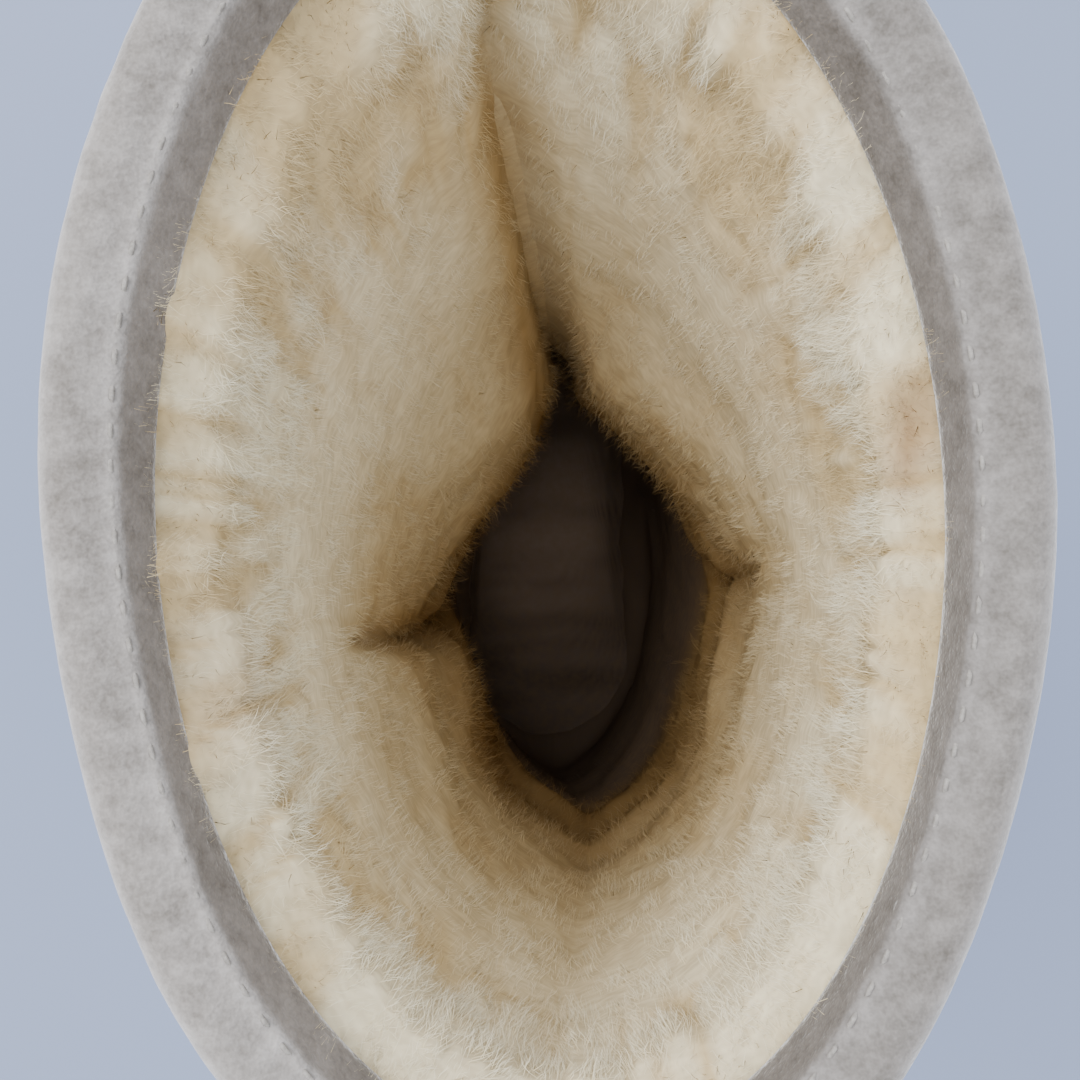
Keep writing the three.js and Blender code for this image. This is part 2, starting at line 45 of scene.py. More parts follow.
# Sizes of the boot in millimetres, as its solids have them
SOLE_LENGTH = 268
HEEL_REACH = 38
BALL_WIDTH = 101
HEEL_WIDTH = 77
HEEL_THICKNESS = 19
BALL_THICKNESS = 14
TOE_SPRING = 9
HEEL_ROUND = 37
TOE_ROUND = 64
SOLE_MARGIN = 3
WIDENS_FROM = 0.22
WIDENS_OVER = 0.4
THINS_FROM = 0.2
THINS_OVER = 0.38
TOE_FROM = 0.73
BOOT_HEIGHT = 245
ANKLE_HEIGHT = 118
ANKLE_LENGTH = 111
ANKLE_WIDTH = 80
ANKLE_REACH = 34.5
ANKLE_LEAN = 7
COLLAR_LENGTH = 145
COLLAR_WIDTH = 94
COLLAR_REACH = 35
HEEL_BULGE = 4
UPPER_SWELL = 2.5
SHAFT_RADIUS = 46
SHAFT_MIDDLE = 36
PILE_RADIUS = 42
COLLAR_ROUND = 380
SUEDE = 2
VAMP_SEAM_TOP = 8.6
VAMP_SEAM_FOOT = 72
VAMP_SEAM_BOW = 12
OVERLAY = 1.5
OVERLAY_BASE = 0.05
COUNTER_HEIGHT = 64
COUNTER_FRONT = 48
STAY_WIDTH = 19
BINDING = 1.3
BINDING_OUTSIDE = 13
BINDING_INSIDE = 8
FLEECE = 11
FLEECE_AT_COLLAR = 3.2
FLEECE_IN_FOOT = 9
INSOLE_THICKNESS = 8
INSOLE_DISH = 2
FIT = 0.35
SOLE_BACK = -HEEL_REACH
SOLE_FRONT = SOLE_LENGTH - HEEL_REACH
FEATHER = HEEL_THICKNESS + FIT


def table(names, rows):
    """A table's columns by name."""
    return {name: np.array([row[i] for row in rows], float) for i, name in enumerate(names.split())}


OUTLINE = table(
    "along left right",
    [
        [0.0, 0.97, 0.97],
        [0.14, 1.0, 1.0],
        [0.36, 0.85, 0.97],
        [0.5, 0.84, 1.0],
        [0.64, 0.96, 1.03],
        [0.74, 1.01, 1.0],
        [0.87, 1.04, 0.94],
        [1.0, 1.0, 0.86],
    ],
)
RINGS = table(
    "instep shaft toe fore lift sole oval swell bulge lean pinch",
    [
        [0.0, 0.0, 1.0, 0.0, 0.0, 1.0, 0.0, 0.0, 0.0, 0.0, 0.0],
        [0.08, 0.0, 1.012, 0.0, 0.05, 0.95, 0.02, 0.8, 0.5, 0.0, 0.0],
        [0.16, 0.0, 0.99, 0.0, 0.098, 0.85, 0.08, 1.0, 0.85, 0.0, 0.0],
        [0.235, 0.0, 0.935, 0.0, 0.134, 0.7, 0.2, 0.8, 1.0, 0.05, 0.0],
        [0.31, 0.0, 0.842, 0.0, 0.14, 0.52, 0.38, 0.5, 1.0, 0.1, 0.0],
        [0.395, 0.0, 0.7, 0.0, 0.132, 0.35, 0.58, 0.25, 0.9, 0.2, 0.03],
        [0.485, 0.0, 0.545, 0.0, 0.12, 0.21, 0.78, 0.1, 0.7, 0.35, 0.07],
        [0.585, 0.0, 0.385, 0.0, 0.112, 0.1, 0.93, 0.0, 0.5, 0.5, 0.12],
        [0.7, 0.0, 0.235, 0.0, 0.108, 0.04, 1.0, 0.0, 0.3, 0.7, 0.18],
        [0.82, 0.0, 0.118, 0.0, 0.115, 0.0, 1.0, 0.0, 0.12, 0.9, 0.24],
        [0.94, 0.0, 0.04, 0.0, 0.115, 0.0, 1.0, 0.0, 0.0, 1.0, 0.27],
        [1.0, 0.1, 0.005, 0.02, 0.078, 0.0, 1.0, 0.0, 0.0, 1.0, 0.27],
        [1.0, 0.25, 0.0, 0.13, 0.03, 0.0, 1.0, 0.0, 0.0, 0.85, 0.24],
        [1.0, 0.42, 0.0, 0.34, 0.0, 0.0, 1.0, 0.0, 0.0, 0.65, 0.18],
        [1.0, 0.6, 0.0, 0.56, 0.0, 0.0, 1.0, 0.0, 0.0, 0.42, 0.1],
        [1.0, 0.8, 0.0, 0.79, 0.0, 0.0, 1.0, 0.0, 0.0, 0.2, 0.04],
        [1.0, 1.0, 0.0, 1.0, 0.0, 0.0, 1.0, 0.0, 0.0, 0.0, 0.0],
    ],
)
LAST_RING = len(RINGS["instep"]) - 1
FLEECE_FOLDS = [
    [7, 9, 0.62, 0.3, -0.3],
    [50, 21, 0.51, 0.17, 0.46],
    [-34, 24, 0.51, 0.17, 0.44],
    [91, 8, 0.52, 0.15, -0.16],
    [-88, 9, 0.52, 0.15, -0.12],
    [112, 20, 0.5, 0.14, 0.35],
    [-120, 20, 0.5, 0.14, 0.2],
    [180, 12, 0.42, 0.2, -0.12],
]

# Soft creases of the suede round the shaft: around and span in degrees from the front towards
# the left, then height, tilt over the span, sag of the middle, width and depth in millimetres
SHAFT_CREASES = [
    [2, 66, 114, 4, -11, 5.0, 3.0],
    [10, 52, 97, -5, -9, 4.2, 2.4],
    [-10, 50, 131, 7, -12, 5.5, 2.2],
    [70, 46, 104, 14, 6, 5.5, 2.4],
    [92, 36, 126, 12, 5, 6.0, 2.0],
    [-76, 48, 110, -14, 5, 5.5, 2.5],
    [-98, 38, 134, -12, 6, 6.5, 2.0],
    [172, 50, 118, 5, -7, 5.0, 2.0],
    [192, 42, 137, -6, -6, 5.5, 1.6],
    [38, 32, 150, 10, 4, 7.5, 1.5],
    [-46, 34, 157, -10, 4, 8.0, 1.5],
    [120, 30, 165, 12, 4, 8.5, 1.2],
    [-130, 34, 172, -12, 4, 9.0, 1.2],
    [150, 28, 92, 6, 3, 5.0, 1.0],
    [-150, 28, 94, -6, 3, 5.0, 1.0],
]

# Soft creases across the vamp: distance along the boot, bow towards the heel at the sides,
# half length across, width and depth in millimetres
VAMP_CREASES = [
    [134, 11, 34, 3.4, 1.3],
    [121, 10, 40, 4.0, 1.7],
    [107, 9, 36, 4.2, 1.3],
    [149, 10, 24, 3.2, 0.8],
]


def mix(a, b, share):
    return a + (b - a) * share


def ease(value):
    share = np.clip(value, 0, 1)
    return share * share * (3 - 2 * share)


def read_between(column, place):
    """Reads a column between its rows, on a smooth curve through them."""
    row = np.clip(np.floor(place), 0, len(column) - 2).astype(int)
    share = place - row
    before, start = column[np.maximum(row - 1, 0)], column[row]
    end, after = column[row + 1], column[np.minimum(row + 2, len(column) - 1)]
    slope_in, slope_out = (end - before) / 2, (after - start) / 2
    cube = 2 * (start - end) + slope_in + slope_out
    square = 3 * (end - start) - 2 * slope_in - slope_out
    return ((cube * share + square) * share + slope_in) * share + start


def end_round(distance, length):
    share = 1 - np.clip(distance / length, 0, 1)
    return np.sqrt(1 - share * share)


def sole_half_width(x, is_left):
    along = (x - SOLE_BACK) / SOLE_LENGTH
    width = mix(HEEL_WIDTH, BALL_WIDTH, ease((along - WIDENS_FROM) / WIDENS_OVER))
    row = np.interp(along, OUTLINE["along"], np.arange(len(OUTLINE["along"])))
    left, right = read_between(OUTLINE["left"], row), read_between(OUTLINE["right"], row)
    return width / 2 * np.where(is_left, left, right)


def sole_top(x):
    along = (x - SOLE_BACK) / SOLE_LENGTH
    toe = np.maximum(along - TOE_FROM, 0) / (1 - TOE_FROM)
    thinning = ease((along - THINS_FROM) / THINS_OVER)
    return mix(HEEL_THICKNESS, BALL_THICKNESS, thinning) + TOE_SPRING * toe * toe


def ring_back_height(place):
    foot = read_between(RINGS["instep"], place) * (ANKLE_HEIGHT - FEATHER)
    return FEATHER + foot + read_between(RINGS["shaft"], place) * (BOOT_HEIGHT - ANKLE_HEIGHT)


HEIGHT_PLACES = np.linspace(0, LAST_RING, 4001)
HEIGHTS = ring_back_height(HEIGHT_PLACES)


def ring_at_height(height):
    return np.interp(height, HEIGHTS, HEIGHT_PLACES)


def surface_point(place, angle):
    """The outer surface of the upper, without its creases."""
    place, angle = np.broadcast_arrays(np.asarray(place, float), np.asarray(angle, float))
    at = {name: read_between(column, place) for name, column in RINGS.items()}
    ankle_front = ANKLE_LENGTH - ANKLE_REACH
    collar_front = COLLAR_LENGTH - COLLAR_REACH
    toe = SOLE_FRONT - SOLE_MARGIN
    heel_reach = mix(mix(HEEL_REACH - SOLE_MARGIN, ANKLE_REACH, at["instep"]), COLLAR_REACH, at["shaft"])
    back = -heel_reach - HEEL_BULGE * at["bulge"]
    front = ankle_front + at["toe"] * (toe - ankle_front) + at["fore"] * (collar_front - ankle_front)
    forward = (1 + np.cos(angle)) / 2
    x = mix(back, front, forward)
    is_left = np.sin(angle) >= 0
    half_length = (front - back) / 2
    ends = end_round(x - back, mix(HEEL_ROUND, half_length, at["oval"]))
    ends = ends * end_round(front - x, mix(TOE_ROUND, half_length, at["oval"]))
    shaft_half_width = mix(ANKLE_WIDTH, COLLAR_WIDTH, at["shaft"]) / 2
    half_width = mix(shaft_half_width, sole_half_width(x, is_left) - SOLE_MARGIN, at["sole"])
    narrowed = 1 - at["pinch"] * ease((forward - 0.45) / 0.5)
    reach = ends * narrowed * (half_width + UPPER_SWELL * at["swell"])
    y = np.where(is_left, reach, -reach) - ANKLE_LEAN * at["lean"]
    lift = at["lift"] * (ANKLE_HEIGHT - FEATHER) * forward
    z = ring_back_height(place) + lift + at["sole"] * (sole_top(x) - HEEL_THICKNESS)
    return np.stack([x, y, z], -1)


def unit(vectors):
    return vectors / np.maximum(np.linalg.norm(vectors, axis=-1, keepdims=True), 1e-9)


def surface_normal(place, angle):
    place, angle = np.broadcast_arrays(np.asarray(place, float), np.asarray(angle, float))
    turn, step = 0.02, 0.05
    around = surface_point(place, angle + turn) - surface_point(place, angle - turn)
    up = surface_point(np.minimum(place + step, LAST_RING), angle) - surface_point(
        np.maximum(place - step, 0), angle
    )
    normal = unit(np.cross(around, up))
    normal[..., 2] *= ease(place / 1.5) * ease((LAST_RING - place) / 1.5)
    return unit(normal)


def turn_between(angle, other):
    return np.arctan2(np.sin(angle - other), np.cos(angle - other))


def trough(distance, width, depth):
    """A soft trough with a low ridge on each side."""
    d = distance / width
    return depth * (0.45 * np.exp(-((d - 1.8) ** 2)) + 0.3 * np.exp(-((d + 1.8) ** 2)) - np.exp(-d * d))


def relief(place, angle, point):
    """How far the creases move the suede outward."""
    total = np.zeros(point.shape[:-1])
    for around, span, height, tilt, sag, width, depth in SHAFT_CREASES:
        turned = turn_between(angle, around * DEGREE) / (span * DEGREE)
        window = np.clip(1 - turned * turned, 0, 1) ** 1.5
        line = height + tilt * turned + sag * turned * turned
        is_shaft = ease((ring_back_height(place) - 60) / 25)
        total += window * is_shaft * trough(point[..., 2] - line, width, depth)
    for along, bow, half, width, depth in VAMP_CREASES:
        across = point[..., 1] / half
        window = np.clip(1 - across * across, 0, 1) ** 1.5
        line = along - bow * across * across
        is_vamp = ease((place - 1.2) / 1.5) * ease((7.5 - place) / 1.5)
        total += window * is_vamp * trough(point[..., 0] - line, width, depth)
    return total


def upper_point(place, angle, inset):
    """A point at a depth below the creased outer surface of the upper."""
    point = surface_point(place, angle)
    out = relief(place, angle, point) - inset
    return point + surface_normal(place, angle) * out[..., None]


def collar_point(drop, inset, angle):
    place = ring_at_height(BOOT_HEIGHT - drop)
    return surface_point(place, angle) - surface_normal(place, angle) * np.asarray(inset)[..., None]


# Smooth noise


def noise(points, size, seed):
    """Smooth noise from -1 to 1 at points, with features of the given size."""
    lattice = np.random.RandomState(seed).uniform(-1, 1, (32, 32, 32))
    at = np.asarray(points) / size + 11.3
    cell = np.floor(at).astype(int)
    share = at - cell
    share = share * share * (3 - 2 * share)
    total = np.zeros(at.shape[:-1])
    for corner in range(8):
        step = np.array([corner & 1, corner >> 1 & 1, corner >> 2 & 1])
        weight = np.prod(np.where(step, share, 1 - share), -1)
        i = (cell + step) % 32
        total += weight * lattice[i[..., 0], i[..., 1], i[..., 2]]
    return total


def layered(points, size, seed, layers=3):
    total = sum(noise(points, size / 2**i, seed + i) / 2**i for i in range(layers))
    return total / (2 - 0.5 ** (layers - 1))


# Mesh building


def make_mesh(name, points, faces, material, normals=None, colours=None, shades=None, smooth=True):
    """A mesh object from points in millimetres and faces of one size or lists of faces."""
    groups = faces if isinstance(faces, list) else [faces]
    groups = [np.asarray(group, np.int32) for group in groups if len(group)]
    mesh = bpy.data.meshes.new(name)
    mesh.vertices.add(len(points))
    mesh.vertices.foreach_set("co", np.asarray(points, np.float32).ravel() * MM)
    corners = np.concatenate([group.ravel() for group in groups])
    totals = np.concatenate([np.full(len(group), group.shape[1], np.int32) for group in groups])
    mesh.loops.add(len(corners))
    mesh.loops.foreach_set("vertex_index", corners)
    mesh.polygons.add(len(totals))
    mesh.polygons.foreach_set("loop_start", np.concatenate([[0], np.cumsum(totals)[:-1]]).astype(np.int32))
    mesh.polygons.foreach_set("loop_total", totals)
    mesh.polygons.foreach_set("use_smooth", np.full(len(totals), smooth))
    mesh.update(calc_edges=True)
    if colours is not None:
        attribute = mesh.color_attributes.new("tint", "FLOAT_COLOR", "POINT")
        rgba = np.concatenate([colours, np.ones((len(points), 1))], 1)
        attribute.data.foreach_set("color", rgba.astype(np.float32).ravel())
    if shades is not None:
        attribute = mesh.attributes.new("shade", "FLOAT", "POINT")
        attribute.data.foreach_set("value", np.asarray(shades, np.float32))
    if normals is not None:
        mesh.normals_split_custom_set_from_vertices(normals.astype(np.float32))
    mesh.materials.append(material)
    piece = bpy.data.objects.new(name, mesh)
    bpy.context.scene.collection.objects.link(piece)
    return piece


def dress(piece, slot, *nodes):
    """Makes a piece ride with the boot and stand for its nodes; the slot is not used."""
    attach(piece, "root")
    if nodes:
        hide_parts(*nodes)
    return piece


def grid_faces(rows, columns, wrap=False, start=0, flip=False):
    """Quads of a grid whose points run column by column along each row."""
    last = columns if wrap else columns - 1
    row, column = np.meshgrid(np.arange(rows - 1), np.arange(last), indexing="ij")
    after = (column + 1) % columns
    a, b = row * columns + column, row * columns + after
    quads = np.stack([a, b, b + columns, a + columns], -1).reshape(-1, 4) + start
    return quads[:, ::-1] if flip else quads


def bridge(low, high, count, wrap=True, flip=False):
    """Quads between two rows of points that start at the given numbers."""
    i = np.arange(count if wrap else count - 1)
    after = (i + 1) % count
    quads = np.stack([low + i, low + after, high + after, high + i], -1)
    return quads[:, ::-1] if flip else quads


def ring_wall(outer, inner):
    """Points and quads of a hollow wall from its outer and inner grids, as rows of rings."""
    columns = outer.shape[1]
    start = outer.shape[0] * columns
    points = np.concatenate([outer.reshape(-1, 3), inner.reshape(-1, 3)])
    outer_top, inner_top = start - columns, start + (inner.shape[0] - 1) * columns
    faces = np.concatenate(
        [
            grid_faces(outer.shape[0], columns, wrap=True),
            grid_faces(inner.shape[0], columns, wrap=True, start=start, flip=True),
            bridge(outer_top, inner_top, columns),
            bridge(0, start, columns, flip=True),
        ]
    )
    return points, faces


def welded(node):
    """A node's points in millimetres and its triangles, with doubled points joined."""
    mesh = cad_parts[node].data
    points = np.empty(len(mesh.vertices) * 3)
    mesh.vertices.foreach_get("co", points)
    points = points.reshape(-1, 3) / MM
    mesh.calc_loop_triangles()
    triangles = np.empty(len(mesh.loop_triangles) * 3, np.int32)
    mesh.loop_triangles.foreach_get("vertices", triangles)
    _, first, index = np.unique(np.round(points, 3), axis=0, return_index=True, return_inverse=True)
    triangles = index.reshape(-1)[triangles].reshape(-1, 3)
    return points[first], triangles[is_whole(triangles)]


def is_whole(triangles):
    a, b, c = triangles.T
    return (a != b) & (b != c) & (a != c)


def corner_normals(corner, triangles, sharp_degrees):
    """A normal for each triangle's corners, smooth but for sharp edges, and the set of those."""
    flat = unit(np.cross(corner[:, 1] - corner[:, 0], corner[:, 2] - corner[:, 0]))
    edges = {}
    for t, (a, b, c) in enumerate(triangles):
        for p, q in ((a, b), (b, c), (c, a)):
            edges.setdefault((min(p, q), max(p, q)), []).append(t)
    limit = math.cos(sharp_degrees * DEGREE)
    sharp = set()
    parent = {}

    def find(key):
        while parent.setdefault(key, key) != key:
            parent[key] = parent[parent[key]]
            key = parent[key]
        return key

    for (p, q), shared in edges.items():
        if len(shared) != 2 or flat[shared[0]] @ flat[shared[1]] < limit:
            sharp.add((p, q))
            continue
        for vertex in (p, q):
            parent[find((vertex, shared[0]))] = find((vertex, shared[1]))
    sums = {}
    spans = np.empty((len(triangles), 3))
    for k in range(3):
        u = unit(corner[:, (k + 1) % 3] - corner[:, k])
        v = unit(corner[:, (k + 2) % 3] - corner[:, k])
        spans[:, k] = np.arccos(np.clip((u * v).sum(1), -1, 1))
    for t, triangle in enumerate(triangles):
        for k in range(3):
            key = find((triangle[k], t))
            sums[key] = sums.get(key, 0) + flat[t] * spans[t, k]
    normals = [[sums[find((triangle[k], t))] for k in range(3)] for t, triangle in enumerate(triangles)]
    return unit(np.array(normals)), sharp


def split_pattern(n):
    """The weights of a split triangle's points, and its smaller triangles."""
    share = [(i, j, n - i - j) for i in range(n + 1) for j in range(n + 1 - i)]
    number = {key: i for i, key in enumerate(share)}
    local = []
    for i in range(n):
        for j in range(n - i):
            k = n - i - j
            local.append([number[i + 1, j, k - 1], number[i, j + 1, k - 1], number[i, j, k]])
            if k > 1:
                local.append([number[i + 1, j, k - 1], number[i + 1, j + 1, k - 2], number[i, j + 1, k - 1]])
    return np.array(share) / n, np.array(local)


def refined(node, splits, sharp_degrees, fullness=0.75):
    """A node's mesh with each triangle split and rounded, and its sharp edges kept."""
    points, triangles = welded(node)
    corner = points[triangles]
    normals, sharp = corner_normals(corner, triangles, sharp_degrees)
    weights, local = split_pattern(splits)
    flat_point = np.einsum("sk,tkd->tsd", weights, corner)
    curved = np.zeros_like(flat_point)
    for k in range(3):
        beyond = ((flat_point - corner[:, None, k]) * normals[:, None, k]).sum(-1, keepdims=True)
        curved += weights[None, :, k, None] * (flat_point - beyond * normals[:, None, k])
    moves = (fullness * (curved - flat_point)).reshape(-1, 3)
    count = len(weights)
    faces = (np.arange(len(triangles))[:, None, None] * count + local).reshape(-1, 3)
    flat_points = flat_point.reshape(-1, 3)
    _, first, index = np.unique(np.round(flat_points, 3), axis=0, return_index=True, return_inverse=True)
    index = index.reshape(-1)
    total = np.zeros((len(first), 3))
    np.add.at(total, index, moves)
    is_edge = np.zeros((len(triangles), count), bool)
    for t, triangle in enumerate(triangles):
        for k in range(3):
            p, q = triangle[(k + 1) % 3], triangle[(k + 2) % 3]
            if (min(p, q), max(p, q)) in sharp:
                is_edge[t] |= weights[:, k] == 0
    on_sharp = np.zeros(len(first), bool)
    on_sharp[index[is_edge.reshape(-1)]] = True
    shares = np.bincount(index)
    divisor = np.where(on_sharp, np.maximum(shares / 2, 1), shares)
    faces = index[faces]
    return flat_points[first] + total / divisor[:, None], faces[is_whole(faces)]


# Materials


class Nodes:
    """Short calls for a material's nodes."""

    def __init__(self, name):
        self.material = bpy.data.materials.new(name)
        self.material.use_nodes = True
        self.tree = self.material.node_tree
        self.shader = self.tree.nodes["Principled BSDF"]
        self.shader.inputs["Metallic"].default_value = 0
        self.coordinates = self.tree.nodes.new("ShaderNodeTexCoord").outputs["Object"]

    def link(self, value, socket):
        if isinstance(value, bpy.types.NodeSocket):
            self.tree.links.new(value, socket)
        else:
            socket.default_value = value

    def stretched(self, scale, rotation=(0, 0, 0)):
        node = self.tree.nodes.new("ShaderNodeMapping")
        node.inputs["Rotation"].default_value = rotation
        node.inputs["Scale"].default_value = scale
        self.link(self.coordinates, node.inputs["Vector"])
        return node.outputs["Vector"]

    def noise(self, size_mm, detail=4, roughness=0.55, vector=None, distortion=0):
        node = self.tree.nodes.new("ShaderNodeTexNoise")
        self.link(vector or self.coordinates, node.inputs["Vector"])
        node.inputs["Scale"].default_value = 1 / (size_mm * MM)
        node.inputs["Detail"].default_value = detail
        node.inputs["Roughness"].default_value = roughness
        node.inputs["Distortion"].default_value = distortion
        return node.outputs["Fac"]

    def cells(self, size_mm):
        node = self.tree.nodes.new("ShaderNodeTexVoronoi")
        self.link(self.coordinates, node.inputs["Vector"])
        node.inputs["Scale"].default_value = 1 / (size_mm * MM)
        return node.outputs["Distance"]

    def ramp(self, value, low, high, to_low=0.0, to_high=1.0):
        node = self.tree.nodes.new("ShaderNodeMapRange")
        self.link(value, node.inputs["Value"])
        for name, number in zip(("From Min", "From Max", "To Min", "To Max"), (low, high, to_low, to_high)):
            node.inputs[name].default_value = number
        return node.outputs["Result"]

    def math(self, kind, a, b):
        node = self.tree.nodes.new("ShaderNodeMath")
        node.operation = kind
        self.link(a, node.inputs[0])
        self.link(b, node.inputs[1])
        return node.outputs["Value"]

    def mix(self, a, b, factor, kind="MIX"):
        node = self.tree.nodes.new("ShaderNodeMix")
        node.data_type = "RGBA"
        node.blend_type = kind
        self.link(factor, node.inputs["Factor"])
        self.link(a, node.inputs["A"])
        self.link(b, node.inputs["B"])
        return [out for out in node.outputs if out.type == "RGBA"][0]

    def attribute(self, name, kind="Color"):
        node = self.tree.nodes.new("ShaderNodeAttribute")
        node.attribute_name = name
        return node.outputs[kind]

    def bump(self, height, depth_mm, strength=1.0, under=None):
        node = self.tree.nodes.new("ShaderNodeBump")
        node.inputs["Strength"].default_value = strength
        node.inputs["Distance"].default_value = depth_mm * MM
        self.link(height, node.inputs["Height"])
        if under is not None:
            self.link(under, node.inputs["Normal"])
        return node.outputs["Normal"]

    def finish(self, colour, roughness, normal=None, **fixed):
        self.link(colour, self.shader.inputs["Base Color"])
        self.link(roughness, self.shader.inputs["Roughness"])
        if normal is not None:
            self.link(normal, self.shader.inputs["Normal"])
        for name, value in fixed.items():
            self.shader.inputs[name.replace("_", " ").title().replace("Ior", "IOR")].default_value = value
        return self.material


REFLECTS = 0.76


def colour(red, green, blue):
    """A linear colour from its values out of 255, as a surface under strong lamps reflects it."""
    values = [v / 255 for v in (red, green, blue)]
    linear = [v / 12.92 if v <= 0.04045 else ((v + 0.055) / 1.055) ** 2.4 for v in values]
    return (*(REFLECTS * v for v in linear), 1.0)


def suede_material(name, light, dark, pale_wear_and_highlight, tinted=False):
    """Suede: short brushed nap that catches light in patches, with paler rubbed places; on the binding the
    paler colour is also a painted highlight, and its tint is painted shade.
    """
    n = Nodes(name)
    patches = n.ramp(n.noise(10, detail=4, roughness=0.62, distortion=0.6), 0.33, 0.67)
    brushed = n.stretched((1, 0.62, 1), (0.5, 0.35, 0.6))
    strokes = n.ramp(n.noise(2.2, detail=3, roughness=0.6, vector=brushed), 0.32, 0.68)
    nap = n.noise(0.5, detail=1, roughness=0.7)
    tone = n.mix(dark, light, patches)
    # The shade attribute pales the suede: rubbed wear, and on the binding a painted highlight along the
    # outer fold.
    tone = n.mix(tone, pale_wear_and_highlight, n.ramp(n.attribute("shade", "Fac"), 0, 1))
    tone = n.mix(tone, n.mix(dark, pale_wear_and_highlight, strokes), 0.2)
    tone = n.mix(tone, n.mix(dark, pale_wear_and_highlight, n.ramp(nap, 0.3, 0.7)), 0.12)
    # On the binding the tint multiplies in painted shade.
    if tinted:
        tone = n.mix(tone, n.attribute("tint"), 1.0, "MULTIPLY")
    normal = n.bump(n.noise(4.5, detail=2), 0.5, 0.55)
    normal = n.bump(strokes, 0.2, 0.6, under=normal)
    normal = n.bump(nap, 0.12, 0.8, under=normal)
    rough = n.ramp(patches, 0, 1, 0.98, 0.88)
    return n.finish(tone, rough, normal, sheen_weight=0.6, sheen_roughness=0.35, specular_ior_level=0.15)


def thread_material():
    n = Nodes("grey_thread")
    twist = n.ramp(n.noise(0.5, detail=2), 0.3, 0.7)
    tone = n.mix(colour(142, 137, 131), colour(172, 167, 161), twist)
    return n.finish(tone, 0.75, n.bump(twist, 0.06, 0.7), specular_ior_level=0.3)


def sole_material():
    """Moulded foam rubber: matt, finely pebbled, scuffed low on its side."""
    n = Nodes("sole_foam")
    cloud = n.ramp(n.noise(30, detail=4), 0.35, 0.7)
    grain = n.noise(0.9, detail=3, roughness=0.65)
    pores = n.ramp(n.cells(1.6), 0.05, 0.3)
    tone = n.mix(colour(142, 134, 126), colour(158, 151, 143), cloud)
    along_side = n.stretched((0.4, 0.4, 2.2))
    scuffs = n.ramp(n.noise(6, detail=6, roughness=0.7, vector=along_side), 0.58, 0.72)
    tone = n.mix(tone, colour(176, 170, 163), n.math("MULTIPLY", scuffs, 0.45))
    tone = n.mix(colour(112, 104, 96), tone, n.ramp(pores, 0, 1, 0.72, 1))
    normal = n.bump(grain, 0.12, 0.7)
    normal = n.bump(pores, 0.1, 0.5, under=normal)
    return n.finish(tone, n.ramp(grain, 0.3, 0.7, 0.62, 0.8), normal, specular_ior_level=0.35)


def wool_material(name, dim):
    """Wool: soft, with a warm tint kept in the mesh, which carries painted shade, and finer streaks over it.
    """
    n = Nodes(name)
    drawn_out = n.stretched((0.5, 0.5, 1.6))
    streaks = n.ramp(n.noise(1.2, detail=1, roughness=0.7, vector=drawn_out), 0.3, 0.7)
    tone = n.mix(n.attribute("tint"), dim, n.ramp(streaks, 0, 1, 0.3, 0.0))
    return n.finish(tone, 1.0, specular_ior_level=0)


def fibre_material():
    n = Nodes("wool_fibre")
    return n.finish(n.attribute("tint"), 1.0, specular_ior_level=0)


SUEDE_LIGHT = colour(142, 137, 132)
SUEDE_DARK = colour(110, 104, 97)
# This pale colour serves rubbed wear and the painted highlight on the binding's outer fold.
SUEDE_WEAR_AND_HIGHLIGHT = colour(228, 222, 219)
suede = suede_material("suede", SUEDE_LIGHT, SUEDE_DARK, SUEDE_WEAR_AND_HIGHLIGHT)
binding_suede = suede_material("binding_suede", SUEDE_LIGHT, SUEDE_DARK, SUEDE_WEAR_AND_HIGHLIGHT, tinted=True)
thread = thread_material()
sole_foam = sole_material()
wool_skin = wool_material("wool_skin", colour(150, 124, 88))
wool_fibre = fibre_material()

# Upper, counter and stay

AROUND = 200


def angles(count=AROUND):
    return np.arange(count) / count * 2 * math.pi


def collar_edge():
    return ring_at_height(BOOT_HEIGHT - BINDING - FIT)


def wear(points, seed):
    """Paler, rubbed suede in soft patches."""
    return 0.25 * ease(layered(points, 34, seed) * 1.6 - 0.25)


def build_upper():
    outer_places = np.linspace(0, collar_edge(), 125)[:, None]
    inner_places = np.linspace(0, collar_edge(), 70)[:, None]
    around = angles()[None, :]
    outer = upper_point(outer_places, around, 0.0)
    inner = upper_point(inner_places, around, SUEDE - 0.25)
    points, faces = ring_wall(outer, inner)
    piece = make_mesh("suede_upper", points, faces, suede, shades=wear(points, 5))
    return dress(piece, "suede", "upper")


def bezier(start, control, end, count=40):
    t = np.linspace(0, 1, count)[:, None]
    start, control, end = (np.array(p, float) for p in (start, control, end))
    return (1 - t) ** 2 * start + 2 * t * (1 - t) * control + t * t * end


def counter_line(grow):
    """The top and front edge of the heel counter in side view, from its front foot to the back."""
    behind = -HEEL_REACH - 20
    top = FEATHER + COUNTER_HEIGHT + grow
    foot = (COUNTER_FRONT - 2, FEATHER + COUNTER_HEIGHT * 0.2)
    shoulder = (0, top - COUNTER_HEIGHT * 0.2)
    front = bezier(foot, (COUNTER_FRONT - 8, FEATHER + COUNTER_HEIGHT * 0.62), shoulder)
    back = bezier(shoulder, (-HEEL_REACH * 0.62, top), (behind, top + 4))
    return np.concatenate([[(COUNTER_FRONT, 0)], front, back[1:]])


def counter_top(x, grow=0.0):
    line = counter_line(grow)[::-1]
    return np.interp(x, line[:, 0], line[:, 1])


